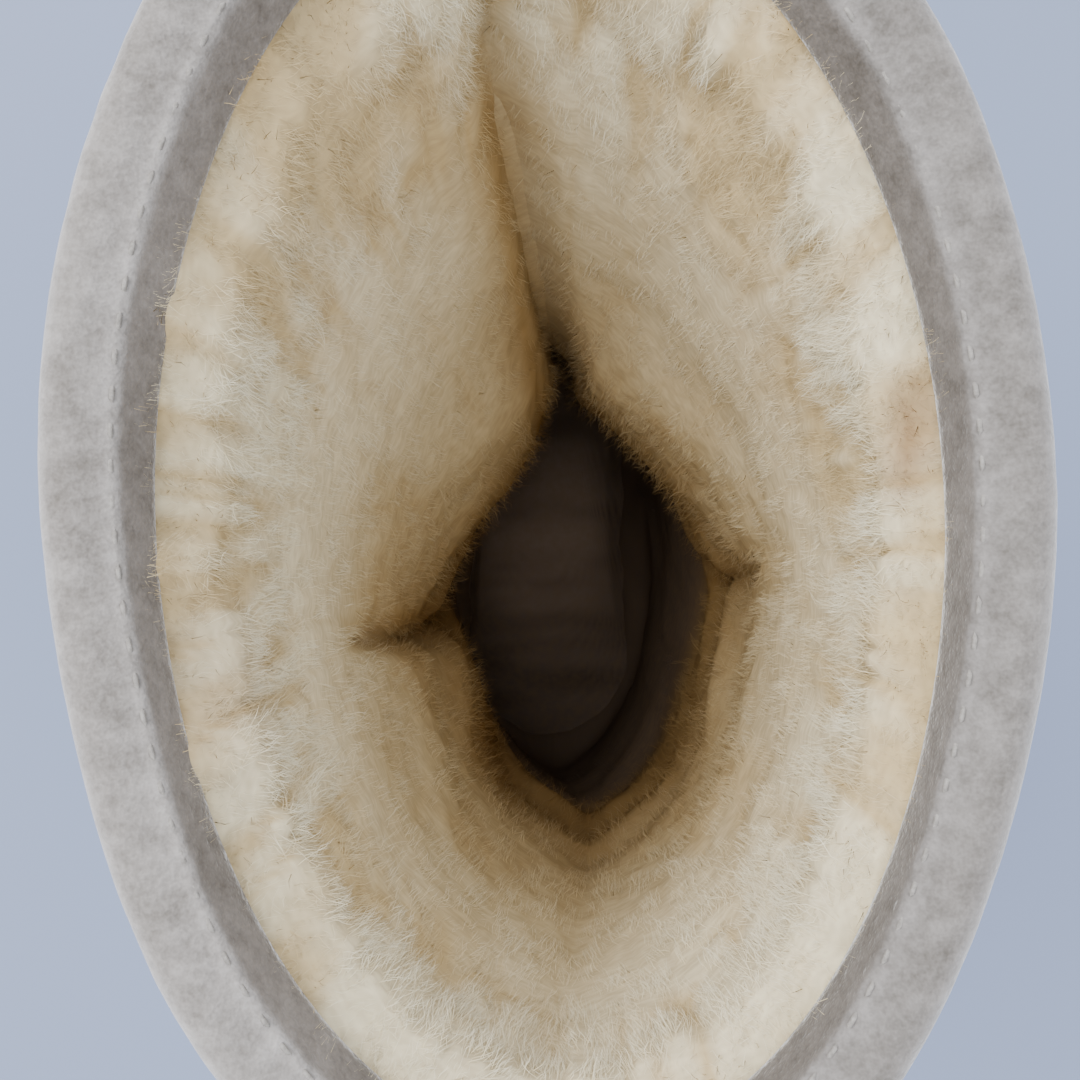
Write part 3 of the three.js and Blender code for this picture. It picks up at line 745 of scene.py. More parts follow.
def overlay(name, node, places, around, edge, seed):
    """A raised patch over the upper, from grids of places and angles and of how near its rim is."""
    rows, columns = edge.shape
    rounded = np.sqrt(np.clip(1 - (1 - edge) ** 2, 0, 1))
    top = upper_point(places, around, -FIT - OVERLAY * (0.35 + 0.65 * rounded))
    base = upper_point(places, around, -OVERLAY_BASE)
    points = np.concatenate([top.reshape(-1, 3), base.reshape(-1, 3)])
    count = rows * columns
    last_row = count - columns
    left = np.arange(rows) * columns
    right = left + columns - 1
    faces = [
        grid_faces(rows, columns),
        grid_faces(rows, columns, start=count, flip=True),
        bridge(0, count, columns, wrap=False, flip=True),
        bridge(last_row, count + last_row, columns, wrap=False),
        np.stack([left[:-1], left[1:], left[1:] + count, left[:-1] + count], -1),
        np.stack([right[1:], right[:-1], right[:-1] + count, right[1:] + count], -1),
    ]
    shades = wear(points, seed)
    shades[:count] += 0.2 * (1 - rounded.reshape(-1))
    piece = make_mesh(name, points, np.concatenate(faces), suede, shades=shades)
    return dress(piece, "suede", node)


def near_rim(share, cells):
    """From 0 at both ends of a run of shares to 1 within a number of cells."""
    return np.minimum(np.minimum(share, 1 - share) * cells, 1)


def counter_edge(around, grow=0.0):
    """The place of the counter's top edge for each angle."""
    places = np.linspace(0, 11, 500)
    grid = surface_point(places[:, None], around[None, :])
    above = grid[..., 2] - counter_top(grid[..., 0], grow)
    return np.array([places[np.argmax(column > 0)] if (column > 0).any() else 11 for column in above.T])


def build_counter():
    """The heel counter. It returns the angles and places of its top edge, for its stitches."""
    rows, half, smoothing, lowest = 26, 118 * DEGREE, 9, 0.02
    around = np.linspace(math.pi - half, math.pi + half, 210)
    top = counter_edge(around)
    is_counter = top > 0.25
    around = around[is_counter]
    padded = np.pad(top[is_counter], smoothing // 2, mode="edge")
    top = np.convolve(padded, np.ones(smoothing) / smoothing, "valid")
    share = np.linspace(0, 1, rows)[:, None]
    side = np.linspace(0, 1, len(around))[None, :]
    edge = np.minimum(near_rim(share, rows / 2), near_rim(side, len(around) / 2))
    places = mix(np.full(len(around), lowest)[None, :], top[None, :], share)
    overlay("suede_counter", "heel_counter", places, around[None, :], edge, 9)
    return around, top


def stay_angles(places, across):
    """The angles at which the surface passes distances to the left of the heel's middle."""
    angle = np.linspace(math.pi * 0.6, math.pi * 1.4, 600)
    grid = surface_point(np.asarray(places)[:, None], angle[None, :])
    return np.array([np.interp(-np.atleast_1d(across), -row, angle) for row in grid[..., 1]])


def build_stay():
    rows, columns, rim_cells = 80, 16, 12
    low = counter_edge(np.array([math.pi]), 2 * FIT)[0]
    places = np.linspace(low, ring_at_height(BOOT_HEIGHT - BINDING_OUTSIDE - 2 * FIT), rows)
    side = np.linspace(-1, 1, columns)
    around = stay_angles(places, -side * STAY_WIDTH / 2)
    share = np.linspace(0, 1, rows)[:, None]
    edge = np.minimum(near_rim(share, rows / 2), near_rim((1 + side[None, :]) / 2, rim_cells))
    overlay("suede_back_stay", "back_stay", places[:, None], around, edge, 12)


# Paths on the surface, as places and angles


def angle_at(place, x):
    front, back = surface_point(place, 0.0)[..., 0], surface_point(place, math.pi)[..., 0]
    return np.arccos(2 * np.clip((x - back) / (front - back), 0, 1) - 1)


def vamp_seam(offset=0.0, count=241):
    share = np.linspace(-1, 1, count)
    square = share * share
    top = surface_point(VAMP_SEAM_TOP, 0.0)[..., 0]
    place = mix(VAMP_SEAM_TOP, 0.3, square)
    x = mix(top, VAMP_SEAM_FOOT, square) + VAMP_SEAM_BOW * 4 * square * (1 - square)
    return shifted(place, np.sign(share) * angle_at(place, x), offset)


def front_seam(offset=0.0, count=121):
    top = ring_at_height(BOOT_HEIGHT - BINDING_OUTSIDE - 2 * FIT)
    place = np.linspace(VAMP_SEAM_TOP + 0.05, top, count)
    return shifted(place, np.zeros(count), offset)


def shifted(place, angle, offset):
    """A path moved sideways over the surface by a distance."""
    if not offset:
        return place, angle
    point = surface_point(place, angle)
    along = unit(np.gradient(point, axis=0))
    side = np.cross(along, surface_normal(place, angle))
    step = 0.01
    by_place = (surface_point(place + step, angle) - surface_point(place - step, angle)) / (2 * step)
    by_angle = (surface_point(place, angle + step) - surface_point(place, angle - step)) / (2 * step)
    a, b, c = ((by_place * by_place).sum(-1), (by_place * by_angle).sum(-1), (by_angle * by_angle).sum(-1))
    p, q = (by_place * side).sum(-1) * offset, (by_angle * side).sum(-1) * offset
    spread = np.maximum(a * c - b * b, 1e-6)
    return place + (c * p - b * q) / spread, angle + (a * q - b * p) / spread


def seam_piece(name, path, width, rise):
    """A raised seam: a rounded strip that follows the suede and its creases."""
    place, angle = path
    centre = upper_point(place, angle, 0.0)
    normal = surface_normal(place, angle)
    along = unit(np.gradient(centre, axis=0))
    side = unit(np.cross(along, normal))
    turn = np.linspace(0, math.pi, 15)
    across = np.cos(turn) * width / 2
    ridge = rise * np.sin(turn) ** 0.7 - 0.35
    ridge[len(turn) // 2] -= 0.35
    rings = centre[:, None] + side[:, None] * across[None, :, None] + normal[:, None] * ridge[None, :, None]
    points = rings.reshape(-1, 3)
    faces = grid_faces(len(place), len(turn), flip=True)
    shades = np.tile(0.16 * np.sin(turn) ** 3, len(place)) + 0.8 * wear(points, 14)
    piece = make_mesh(name, points, faces, suede, shades=shades)
    return dress(piece, "suede")


def along_run(distance, run, values):
    """Rows of values at distances along a run."""
    return np.stack([np.interp(distance, run, values[:, k]) for k in range(3)], -1)


def stitches(name, paths, pitch, length, width=0.7, height=0.45):
    """Rows of sewn stitches, each a small rounded bead that dips in at both ends."""
    ring, sides = np.linspace(-1, 1, 5), 6
    turn = np.arange(sides) / sides * 2 * math.pi
    swell = np.sqrt(np.clip(1 - ring**6, 0.02, 1))
    template = np.stack(
        [
            np.repeat(ring * length / 2, sides),
            np.outer(swell, np.cos(turn)).ravel() * width / 2,
            np.outer(swell, np.sin(turn)).ravel() * height / 2 - np.repeat(ring**4, sides) * height * 0.7,
        ],
        -1,
    )
    faces_one = grid_faces(len(ring), sides, wrap=True)
    all_points, all_faces, start = [], [], 0
    for points, normals in paths:
        gap = np.linalg.norm(np.diff(points, axis=0), axis=1)
        run = np.concatenate([[0], np.cumsum(gap)])
        centres = np.arange(pitch / 2, run[-1], pitch)
        at = along_run(centres, run, points)
        along = unit(along_run(centres + 0.4, run, points) - along_run(centres - 0.4, run, points))
        side = unit(np.cross(unit(along_run(centres, run, normals)), along))
        axes = np.stack([along, side, np.cross(along, side)], 1)
        beads = at[:, None] + np.einsum("tk,bkd->btd", template, axes)
        all_points.append(beads.reshape(-1, 3))
        numbers = start + np.arange(len(centres))[:, None, None] * len(template)
        all_faces.append((numbers + faces_one).reshape(-1, 4))
        start += len(centres) * len(template)
    piece = make_mesh(name, np.concatenate(all_points), np.concatenate(all_faces), thread)
    return dress(piece, "suede")


def on_surface(path, lift):
    place, angle = path
    return upper_point(place, angle, -lift), surface_normal(place, angle)


# Binding

BINDING_AROUND = 360
STITCH_PITCH = 3.4

# Outline of the binding's section: inset from the suede's outer face, and drop from the rim
BINDING_SECTION = np.array(
    [
        [-0.1, 12.6],
        [-0.9, 13.0],
        [-1.7, 12.3],
        [-1.85, 9.5],
        [-1.8, 6.5],
        [-1.6, 3.8],
        [-1.0, 1.9],
        [-0.1, 0.7],
        [1.1, 0.1],
        [2.4, 0.0],
        [3.6, 0.3],
        [4.7, 0.8],
        [5.6, 1.15],
        [6.3, 1.2],
        [6.75, 1.5],
        [6.8, 2.2],
        [6.95, 3.4],
        [7.25, 5.5],
        [7.3, 8.0],
        [6.5, 8.2],
        [6.0, 7.4],
        [5.95, 4.0],
        [5.5, 2.7],
        [4.6, 2.1],
        [2.6, 1.45],
        [0.6, 1.25],
        [-0.2, 1.4],
        [-0.38, 2.4],
        [-0.35, 8.0],
    ]
)


def closed_curve(points, count):
    """Points spread evenly along a smooth closed curve through the given ones."""
    n = len(points)
    t = np.linspace(0, n, n * 24, endpoint=False)
    i = np.floor(t).astype(int)
    s = (t - i)[:, None]
    p0, p1, p2, p3 = (points[(i + k) % n] for k in (-1, 0, 1, 2))
    curve = 0.5 * (
        2 * p1 + (p2 - p0) * s + (2 * p0 - 5 * p1 + 4 * p2 - p3) * s * s + (3 * p1 - p0 - 3 * p2 + p3) * s**3
    )
    looped = np.vstack([curve, curve[:1]])
    run = np.concatenate([[0], np.cumsum(np.linalg.norm(np.diff(looped, axis=0), axis=1))])
    at = np.linspace(0, run[-1], count, endpoint=False)
    return np.stack([np.interp(at, run, looped[:, k]) for k in range(2)], -1)


def ring_noise(angle, waves, seed):
    """Smooth noise round a ring, as a sum of a few waves."""
    random = np.random.RandomState(seed)
    total = np.zeros_like(angle)
    for wave in waves:
        total += math.sqrt(1 / len(waves)) * np.sin(wave * angle + random.uniform(0, 2 * math.pi))
    return total


def binding_place(drop, inset, angle):
    """A point of the binding, with the slight waviness of a sewn edge."""
    over = ease((9 - drop) / 8)
    sway = 0.3 * ring_noise(angle, (2, 3, 5), 21) * over
    rise = 0.5 * ring_noise(angle, (2, 5, 8), 22) * over
    return collar_point(np.maximum(drop - rise, 0), inset + sway, angle) + np.stack(
        [np.zeros_like(rise), np.zeros_like(rise), np.maximum(rise - drop, 0)], -1
    )


def build_binding():
    section = closed_curve(BINDING_SECTION, 58)
    inset = section[None, :, 0] * np.ones((BINDING_AROUND, 1))
    drop = section[None, :, 1] * np.ones((BINDING_AROUND, 1))
    around = angles(BINDING_AROUND)[:, None] * np.ones_like(inset)
    outside = (drop < 9) & (inset < 7.2)
    base = collar_point(drop, inset, around)
    dents = 0.14 * layered(base, 7, 31) + 0.08 * noise(base, 2.6, 35)
    length = around * COLLAR_ROUND / (2 * math.pi)
    puckers = np.exp(-(((inset - 6.3) / 0.9) ** 2)) * 0.3 * np.cos(2 * math.pi * length / STITCH_PITCH)
    drop = drop + np.where(outside, dents + puckers, 0)
    points = binding_place(np.maximum(drop, 0), inset, around)
    # Painted highlight along the outer fold, fading down the outer leg, and a lighter line along the inner
    # ridge.
    rubbed = ease((1.4 - inset) / 3.2) * ease((7.5 - drop) / 6)
    shade = rubbed + 0.16 * np.exp(-(((inset - 6.1) / 0.7) ** 2))
    # Painted shade on the inner leg below the ridge, multiplied in through the tint.
    dark = ease((drop - 1.5) / 1.2) * (inset > 5)
    # Painted shade: the binding darkens towards its -Y side.
    nap = (1.02 - 0.2 * ease(0.5 - points[..., 1] / 70))[..., None]
    strip = np.stack([1 - 0.24 * dark, 1 - 0.27 * dark, 1 - 0.3 * dark], -1)
    colours = (nap * strip).reshape(-1, 3)
    count = len(section)
    faces = grid_faces(BINDING_AROUND, count, wrap=True)
    ring = np.arange(count)
    last = (BINDING_AROUND - 1) * count
    join = np.stack([last + ring, last + (ring + 1) % count, (ring + 1) % count, ring], -1)
    faces = np.concatenate([faces, join])
    flat = points.reshape(-1, 3)
    shades = shade.reshape(-1) + wear(flat, 17)
    piece = make_mesh("suede_binding", flat, faces, binding_suede, shades=shades, colours=colours)
    return dress(piece, "suede", "collar_binding")


build_upper()
counter_angles, counter_places = build_counter()
build_stay()
build_binding()

# Fleece

PILE = 1.6


def fleece_thickness(place, angle):
    height = ring_back_height(place)
    drop = BOOT_HEIGHT - height
    body = mix(FLEECE_IN_FOOT, FLEECE, ease((height - FEATHER) / (ANKLE_HEIGHT - FEATHER)))
    folds = np.zeros(np.broadcast(place, angle).shape)
    for around, width, up, tall, depth in FLEECE_FOLDS:
        beside = turn_between(angle, around * DEGREE) / (width * DEGREE)
        above = (height / BOOT_HEIGHT - up) / tall
        folds = folds + depth * np.exp(-beside * beside - above * above)
    along_edge = np.asarray(angle) * SHAFT_RADIUS
    line = np.stack([along_edge, 0 * along_edge, 0 * along_edge], -1)
    scallop = 1.6 * noise(line, 6.5, 46) + noise(line, 2.8, 48)
    opened = ease((drop - BINDING_INSIDE + 1.7 + scallop) / 7)
    over_insole = 5.0 * np.exp(-(((height - 25) / 13) ** 2))
    return mix(FLEECE_AT_COLLAR, body + FLEECE * folds, opened) + over_insole


# Sharp creases in the pile of the shaft: around in degrees at the top and at the bottom,
# the heights they run between, then width and depth in millimetres
PILE_CREASES = [
    [10, 14, 232, 108, 4.0, 5.2],
    [99, 93, 188, 104, 1.9, 5.4],
    [-84, -86, 168, 108, 1.9, 3.2],
    [176, 180, 225, 110, 7.0, 2.2],
]


def crease_depth(angle, height):
    """How deep the sharp creases cut into the pile."""
    total = np.zeros(np.broadcast(angle, height).shape)
    for top_around, foot_around, top, foot, width, depth in PILE_CREASES:
        share = (top - height) / (top - foot)
        around = mix(top_around, foot_around, np.clip(share, 0, 1)) * DEGREE
        turned = turn_between(angle, around) * PILE_RADIUS
        window = ease((top - height) / 25 + 0.2) * ease((height - foot) / 20 + 0.5)
        total = total + window * depth * np.exp(-np.abs(turned / width) ** 1.3)
    return total


def unrolled(points, upward):
    """The shaft laid flat: the way round it, then a share of the height."""
    around = np.arctan2(points[..., 1], points[..., 0] - SHAFT_MIDDLE) * SHAFT_RADIUS
    return np.stack([around, upward * points[..., 2], 0 * around], -1)


def combed(points, size, seed, layers=2):
    """Noise drawn out up and down the shaft, as the pile is combed."""
    return layered(unrolled(points, 0.3), size, seed, layers)


def tufts(points):
    """Rounded tufts of the pile with narrow valleys between them, from 0 to 1."""
    flat = unrolled(points, 0.26)
    wide = np.clip(1.7 * np.abs(layered(flat, 8, 91, 2)), 0, 1) ** 0.6
    fine = np.clip(1.8 * np.abs(noise(flat, 3.2, 95)), 0, 1) ** 0.6
    return 0.55 * wide + 0.45 * fine


def fleece_grid(places, around):
    """The surface of the pile, just behind the tips of its fibres."""
    height = ring_back_height(places) + 0 * around
    thick = fleece_thickness(places, around) - crease_depth(around, height)
    top = ease((BOOT_HEIGHT - height - 6) / 4)
    base = upper_point(places, around, SUEDE + FIT + thick)
    strength = 0.25 + 0.9 * ease((height - 190) / 35)
    puff = 2.3 * strength * (tufts(base) - 0.6) + 0.9 * layered(base, 12, 44) + 0.15 * noise(base, 2.2, 47)
    return upper_point(places, around, SUEDE + FIT + np.maximum(thick - (PILE - puff) * top, 1.2))


# Wool colours. The darker root colour paints the shade deep in the pile; the deep colour paints the shade
# inside the foot.
WOOL_TIP = np.array(colour(252, 244, 218)[:3])
WOOL_BODY = np.array(colour(245, 228, 184)[:3])
WOOL_ROOT_SHADE = np.array(colour(212, 184, 130)[:3])
WOOL_DARK_BROWN = np.array(colour(150, 104, 58)[:3])
WOOL_DEEP_SHADE = np.array(colour(116, 99, 85)[:3])

# Darker brown tints in the pile: centre, radius in millimetres and strength. The first four make a stain by
# the rim; the others darken the pile in soft patches.
TINTS = [
    [(47, -37.6, 236), 2.4, 0.7],
    [(44, -37.2, 235.5), 2.7, 0.95],
    [(41, -36.8, 235), 2.7, 0.95],
    [(38, -36.2, 234.5), 2.4, 0.7],
    [(-12, -1, 226), 15.0, 0.2],
    [(20, 32, 234), 9.0, 0.3],
    [(80, 8, 225), 9.0, 0.16],
    [(66, 22, 214), 12.0, 0.14],
    [(58, -28, 206), 12.0, 0.14],
]


def hollows(points):
    """How near points of the shaft lie to the bottom of a crease, from 0 to 1."""
    x, y, z = points.T
    up = np.clip((z - ANKLE_HEIGHT) / (BOOT_HEIGHT - ANKLE_HEIGHT), 0, 1)
    length = mix(ANKLE_LENGTH, COLLAR_LENGTH, up) / 2
    width = mix(ANKLE_WIDTH, COLLAR_WIDTH, up) / 2
    middle = length - ANKLE_REACH
    angle = np.arctan2((y + ANKLE_LEAN * (1 - up)) / width, (x - middle) / length)
    total = np.zeros(len(points))
    for top_around, foot_around, top, foot, spread, depth in PILE_CREASES:
        around = mix(top_around, foot_around, np.clip((top - z) / (top - foot), 0, 1)) * DEGREE
        turned = np.abs(turn_between(angle, around)) * PILE_RADIUS
        window = ease((top - z) / 34) * ease((z - foot) / 20 + 0.5)
        total += window * depth / 5 * np.exp(-turned / (1.4 * spread + 1.2))
    return np.clip(total, 0, 1)


def wool_colour(points, toward_tip):
    """The wool's colour at points, from root to tip, with shade painted in: darker roots, valleys between
    tufts, the top edge under the binding, the lower shaft, the creases, the ankle and the foot.
    """
    t = ease(toward_tip)[:, None]
    tone = mix(mix(WOOL_ROOT_SHADE, WOOL_BODY, np.minimum(t * 2, 1)), WOOL_TIP, np.maximum(t * 2 - 1, 0))
    # Random blotches of the root colour, and painted shade in the valleys between tufts, both stronger
    # higher up.
    cloud = 0.6 * combed(points, 8, 51) + 0.9 * layered(points, 18, 54)
    painted_valley_shade = 1 - ease(tufts(points) / 0.7)
    high = ease((points[:, 2] - 196) / 30)
    blotches_and_valley_shade = 0.1 + cloud * (0.7 + 1.3 * high) + painted_valley_shade * (0.3 + 1.1 * high)
    tone = mix(tone, WOOL_ROOT_SHADE, np.clip(blotches_and_valley_shade, 0, 1)[:, None] * 0.75)
    # Painted shade along the top edge, under the binding's inner leg.
    painted_shade_under_binding = ease((points[:, 2] - 235.2) / 2.4)[:, None] * 0.5
    tone = mix(tone, tone * np.array([0.8, 0.68, 0.5]), painted_shade_under_binding)
    # Painted shade, deepening down the shaft.
    low = ease((228 - points[:, 2]) / 112)[:, None]
    tone = mix(tone, tone * np.array([0.6, 0.48, 0.31]), low * 0.9)
    # Painted shade in the creases of the pile.
    tone = mix(tone, tone * np.array([0.58, 0.46, 0.29]), hollows(points)[:, None] * 0.8)
    # Painted shade where the shaft narrows into the ankle.
    ankle = ease((158 - points[:, 2]) / 36)[:, None]
    tone = mix(tone, tone * np.array([0.62, 0.54, 0.44]), ankle)
    # Painted shade inside the foot, a little lighter towards the bottom.
    foot = ease((117 - points[:, 2]) / 18)[:, None]
    tone = mix(tone, WOOL_DEEP_SHADE * (1 + 0.5 * ease((80 - points[:, 2]) / 50)[:, None]), foot)
    for centre, radius, strength in TINTS:
        near = np.exp(-((points - np.array(centre)) ** 2).sum(-1) / radius**2)[:, None]
        tone = mix(tone, WOOL_DARK_BROWN, near * strength * (1 - 0.3 * t))
    return np.clip(tone, 0, 1)


def build_fleece_skin():
    columns = 420
    turn_in = ring_at_height(ANKLE_HEIGHT - 14)
    foot_places = np.linspace(0, turn_in, 26)
    shaft_places = np.linspace(turn_in, ring_at_height(BOOT_HEIGHT - 3.5), 150)
    places = np.concatenate([foot_places, shaft_places[1:]])[:, None]
    around = angles(columns)[None, :]
    inner = fleece_grid(places, around)
    outer_places = np.linspace(0, places[-1, 0], 18)[:, None]
    behind_creases = mix(3.6, FIT * 0.5, ease((ring_back_height(outer_places) - 200) / 30))
    outer_inset = (SUEDE + behind_creases) * np.ones_like(around)
    outer = surface_point(outer_places, around)
    outer = outer - surface_normal(outer_places, around) * outer_inset[..., None]
    points, faces = ring_wall(outer, inner)
    colours = wool_colour(points, np.full(len(points), 0.66))
    piece = make_mesh("fleece_skin", points, faces, wool_skin, colours=colours)
    dress(piece, "fleece", "fleece_lining")
    return inner


def grid_frames(grid):
    """Normals towards the inside of the boot, and tangents round it and up it."""
    round_it = np.roll(grid, -1, 1) - np.roll(grid, 1, 1)
    up = np.gradient(grid, axis=0)
    return unit(np.cross(up, round_it)), unit(round_it), unit(up)


def sample(grid, u, v):
    """Values of a grid between its rows and columns."""
    rows, columns = grid.shape[:2]
    i = np.clip(np.floor(u).astype(int), 0, rows - 2)
    j = np.floor(v).astype(int) % columns
    s, t = (u - i)[:, None], (v - np.floor(v))[:, None]
    after = (j + 1) % columns
    low = mix(grid[i, j], grid[i, after], t)
    return mix(low, mix(grid[i + 1, j], grid[i + 1, after], t), s)


def scatter(grid, weight, count, random):
    """Random places on a grid, as rows and columns, by area and weight."""
    edge_a = np.linalg.norm(np.diff(grid, axis=0), axis=-1)
    edge_b = np.linalg.norm(np.roll(grid, -1, 1) - grid, axis=-1)[:-1]
    chance = (edge_a * edge_b * weight[:-1]).ravel()
    picks = random.choice(len(chance), count, p=chance / chance.sum())
    columns = grid.shape[1]
    return picks // columns + random.uniform(size=count), picks % columns + random.uniform(size=count)


def fibres(name, roots, directions, offsets, lengths, widths, across, facing, random, bend, curl, segments):
    """Curved, tapering ribbons of wool gathered into locks."""
    n = len(roots)
    phase = random.uniform(0, 2 * math.pi, n)[:, None]
    wave = random.uniform(0.3, 1.0, n)[:, None] * curl
    turns = random.uniform(0.6, 1.5, n)[:, None]
    side = unit(np.cross(directions, across))
    spine = []
    for k in range(segments + 1):
        t = k / segments
        sway = wave * t * (np.sin(turns * 2 * math.pi * t + phase) - np.sin(phase))
        drift = wave * t * 0.7 * (np.cos(turns * 2 * math.pi * t * 0.8 + phase) - np.cos(phase))
        point = roots + offsets * (1 - 0.35 * t) + directions * lengths[:, None] * t
        point = point + bend * (lengths[:, None] * t * t) + across * sway + side * drift
        spine.append(point)
    spine = np.array(spine)
    outward = unit(facing * 0.25 + np.array([0, 0, 0.9]) + 0.45 * random.normal(size=(n, 3)))
    flat = unit(np.cross(outward, directions))
    rows = []
    for k in range(segments):
        along = unit(spine[k + 1] - spine[k])
        wide = unit(flat - along * (flat * along).sum(-1, keepdims=True))
        half = widths[:, None] / 2 * (1 - 0.55 * k / segments)
        rows += [spine[k] - wide * half, spine[k] + wide * half]
    rows.append(spine[segments])
    points = np.stack(rows, 1)
    per = points.shape[1]
    quads = np.array([[2 * k + 1, 2 * k, 2 * k + 2, 2 * k + 3] for k in range(segments - 1)])
    tip = np.array([[2 * segments - 1, 2 * segments - 2, 2 * segments]])
    base = np.arange(n)[:, None, None] * per
    faces = [(base + quads).reshape(-1, 4), (base + tip).reshape(-1, 3)]
    t = np.repeat(np.append(np.repeat(np.arange(segments) / segments, 2), 1.0)[None, :], n, 0)
    flat_points = points.reshape(-1, 3)
    colours = wool_colour(flat_points, 0.5 + 0.5 * t.reshape(-1))
    colours *= np.repeat(random.uniform(0.96, 1.04, n), per)[:, None]
    level = unit(np.cross(directions, flat))
    level = level * np.where((level * outward).sum(-1, keepdims=True) < 0, -1, 1)
    normals = np.repeat(unit(facing + 0.5 * level + 0.06 * random.normal(size=(n, 3))), per, 0)
    piece = make_mesh(name, flat_points, faces, wool_fibre, normals=normals, colours=np.clip(colours, 0, 1))
    return dress(piece, "fleece")


skin = build_fleece_skin()
inward, round_way, up_way = grid_frames(skin)


def shaft_weight(grid):
    """Where the pile is seen close, more fibres."""
    z = grid[..., 2]
    rim = ease((z - 205) / 20)
    shaft = ease((z - 120) / 30)
    foot = ease((z - 60) / 40)
    hidden = z > BOOT_HEIGHT - 6
    return np.where(hidden, 0.0, 0.02 + 0.08 * foot + 0.9 * shaft + 2.2 * rim)


def build_pile(name, seed, locks, per_lock, weight, reach, curl, segments):
    """Locks of fibres over the skin, with their mean length in millimetres."""
    random = np.random.RandomState(seed)
    u, v = scatter(skin, weight, locks, random)
    root, normal = sample(skin, u, v), unit(sample(inward, u, v))
    around, up = unit(sample(round_way, u, v)), unit(sample(up_way, u, v))
    rim = ease((root[:, 2] - 222) / 14)[:, None]
    sway = 0.55 * noise(root, 9, seed + 1)[:, None]
    lean = 0.4 * noise(root, 12, seed + 2)[:, None]
    jitter = random.normal(size=(locks, 3)) * 0.22
    direction = unit(normal + around * sway + up * (lean - 0.3 * rim - 0.35 * (1 - rim)) + jitter)
    length = reach * (1 + 0.22 * random.uniform(-1, 1, locks)) * (1 + 0.25 * rim[:, 0])
    n = locks * per_lock
    direction = unit(np.repeat(direction, per_lock, 0) + random.normal(size=(n, 3)) * 0.22)
    around, up = np.repeat(around, per_lock, 0), np.repeat(up, per_lock, 0)
    spread = 1.9 * np.sqrt(random.uniform(size=n))
    turn = random.uniform(0, 2 * math.pi, n)
    offset = around * (spread * np.cos(turn))[:, None] + up * (spread * np.sin(turn))[:, None]
    lengths = np.repeat(length, per_lock) * random.uniform(0.6, 1.1, n)
    facing = np.repeat(normal, per_lock, 0)
    roots = np.repeat(root, per_lock, 0) - facing * 0.3
    bend = np.array([0, 0, -0.1])
    widths = random.uniform(0.055, 0.1, n)
    return fibres(
        name, roots, direction, offset, lengths, widths, around, facing, random, bend, curl, segments
    )


LOCKS = 1700
weight = shaft_weight(skin)
for number in range(3):
    build_pile(f"fleece_pile_{number + 1}", 60 + 7 * number, LOCKS, 12, weight, 2.2, 0.35, 2)

# Loose curly hairs, most of them where the pile turns into the ankle
edge_height = skin[..., 2]
edge_weight = 0.04 * weight + 2.5 * np.exp(-(((edge_height - 128) / 14) ** 2))
build_pile("fleece_hairs", 97, 1600, 3, edge_weight, 3.6, 0.9, 4)

# Insole and sole


def build_insole():
    """The loose sheepskin footbed, with its pile pressed into streaks across the foot."""
    edge = SUEDE + FIT + FLEECE_IN_FOOT + FIT
    around = angles(160)
    rim = upper_point(0.0, around, edge)
    middle = np.array([88.0, 0.0, 0.0])
    shares = np.concatenate([[1.0, 1.0], np.linspace(1.0, 0.02, 46)])
    rise = np.concatenate([[0.4, INSOLE_THICKNESS * 0.55], np.zeros(46)])
    rings = []
    for i, share in enumerate(shares):
        spread = 2.2 * ease((i - 0.5) / 1.5) * ease((share - 0.86) / 0.14)
        away = unit((rim - middle) * np.array([1, 1, 0]))
        ring = middle + (rim - middle) * share + away * spread
        crown = INSOLE_THICKNESS - INSOLE_DISH * (1 - share**4) + 3.5 * ease((share - 0.8) / 0.2)
        ring[:, 2] = sole_top(ring[:, 0]) + FIT + (rise[i] if i < 2 else crown)
        if i >= 2:
            streak = np.stack([ring[:, 0], 0.22 * ring[:, 1], 0 * ring[:, 0]], -1)
            ring[:, 2] += 0.9 * layered(streak, 7, 71) * (1 - 0.4 * share)
        rings.append(ring)
    grid = np.array(rings)
    top = grid.reshape(-1, 3)
    last = (len(grid) - 1) * len(around)
    cap = [last + np.arange(len(around))[None, :], np.arange(len(around))[None, ::-1]]
    faces = [grid_faces(len(grid), len(around), wrap=True), *cap]
    streak = layered(top * np.array([1, 0.2, 0]), 6, 74)
    lighter, darker = np.array(colour(166, 144, 127)[:3]), np.array(colour(128, 109, 95)[:3])
    tone = mix(lighter, darker, ease(0.45 + 0.9 * streak)[:, None])
    # Painted shade: the footbed darkens towards its rim, to meet the shaded wall of the foot.
    painted_rim_shade = np.repeat(ease((shares - 0.5) / 0.5), len(around))[:, None]
    tone = tone * (1 - 0.42 * painted_rim_shade)
    piece = make_mesh("fleece_insole", top, faces, wool_skin, colours=tone)
    dress(piece, "fleece", "insole")


def build_outsole():
    points, faces = refined("outsole", 3, 32)
    points[:, 2] = np.maximum(points[:, 2], 0)
    piece = make_mesh("foam_outsole", points, faces, sole_foam)
    piece.data.set_sharp_from_angle(angle=34 * DEGREE)
    return dress(piece, "sole_foam", "outsole")


build_insole()
build_outsole()

# Seams and stitches

SEAM_WIDTH = 5
BESIDE_SEAM = 4.2
THREAD_LIFT = 0.12

seam_piece("vamp_seam", vamp_seam(), SEAM_WIDTH, 1.35)
seam_piece("front_seam", front_seam(), SEAM_WIDTH, 1.1)
rows = [on_surface(vamp_seam(offset), THREAD_LIFT) for offset in (-BESIDE_SEAM, BESIDE_SEAM)]
rows += [on_surface(front_seam(offset), THREAD_LIFT) for offset in (-BESIDE_SEAM, BESIDE_SEAM)]
stitches("seam_stitches", rows, STITCH_PITCH, 2.4)

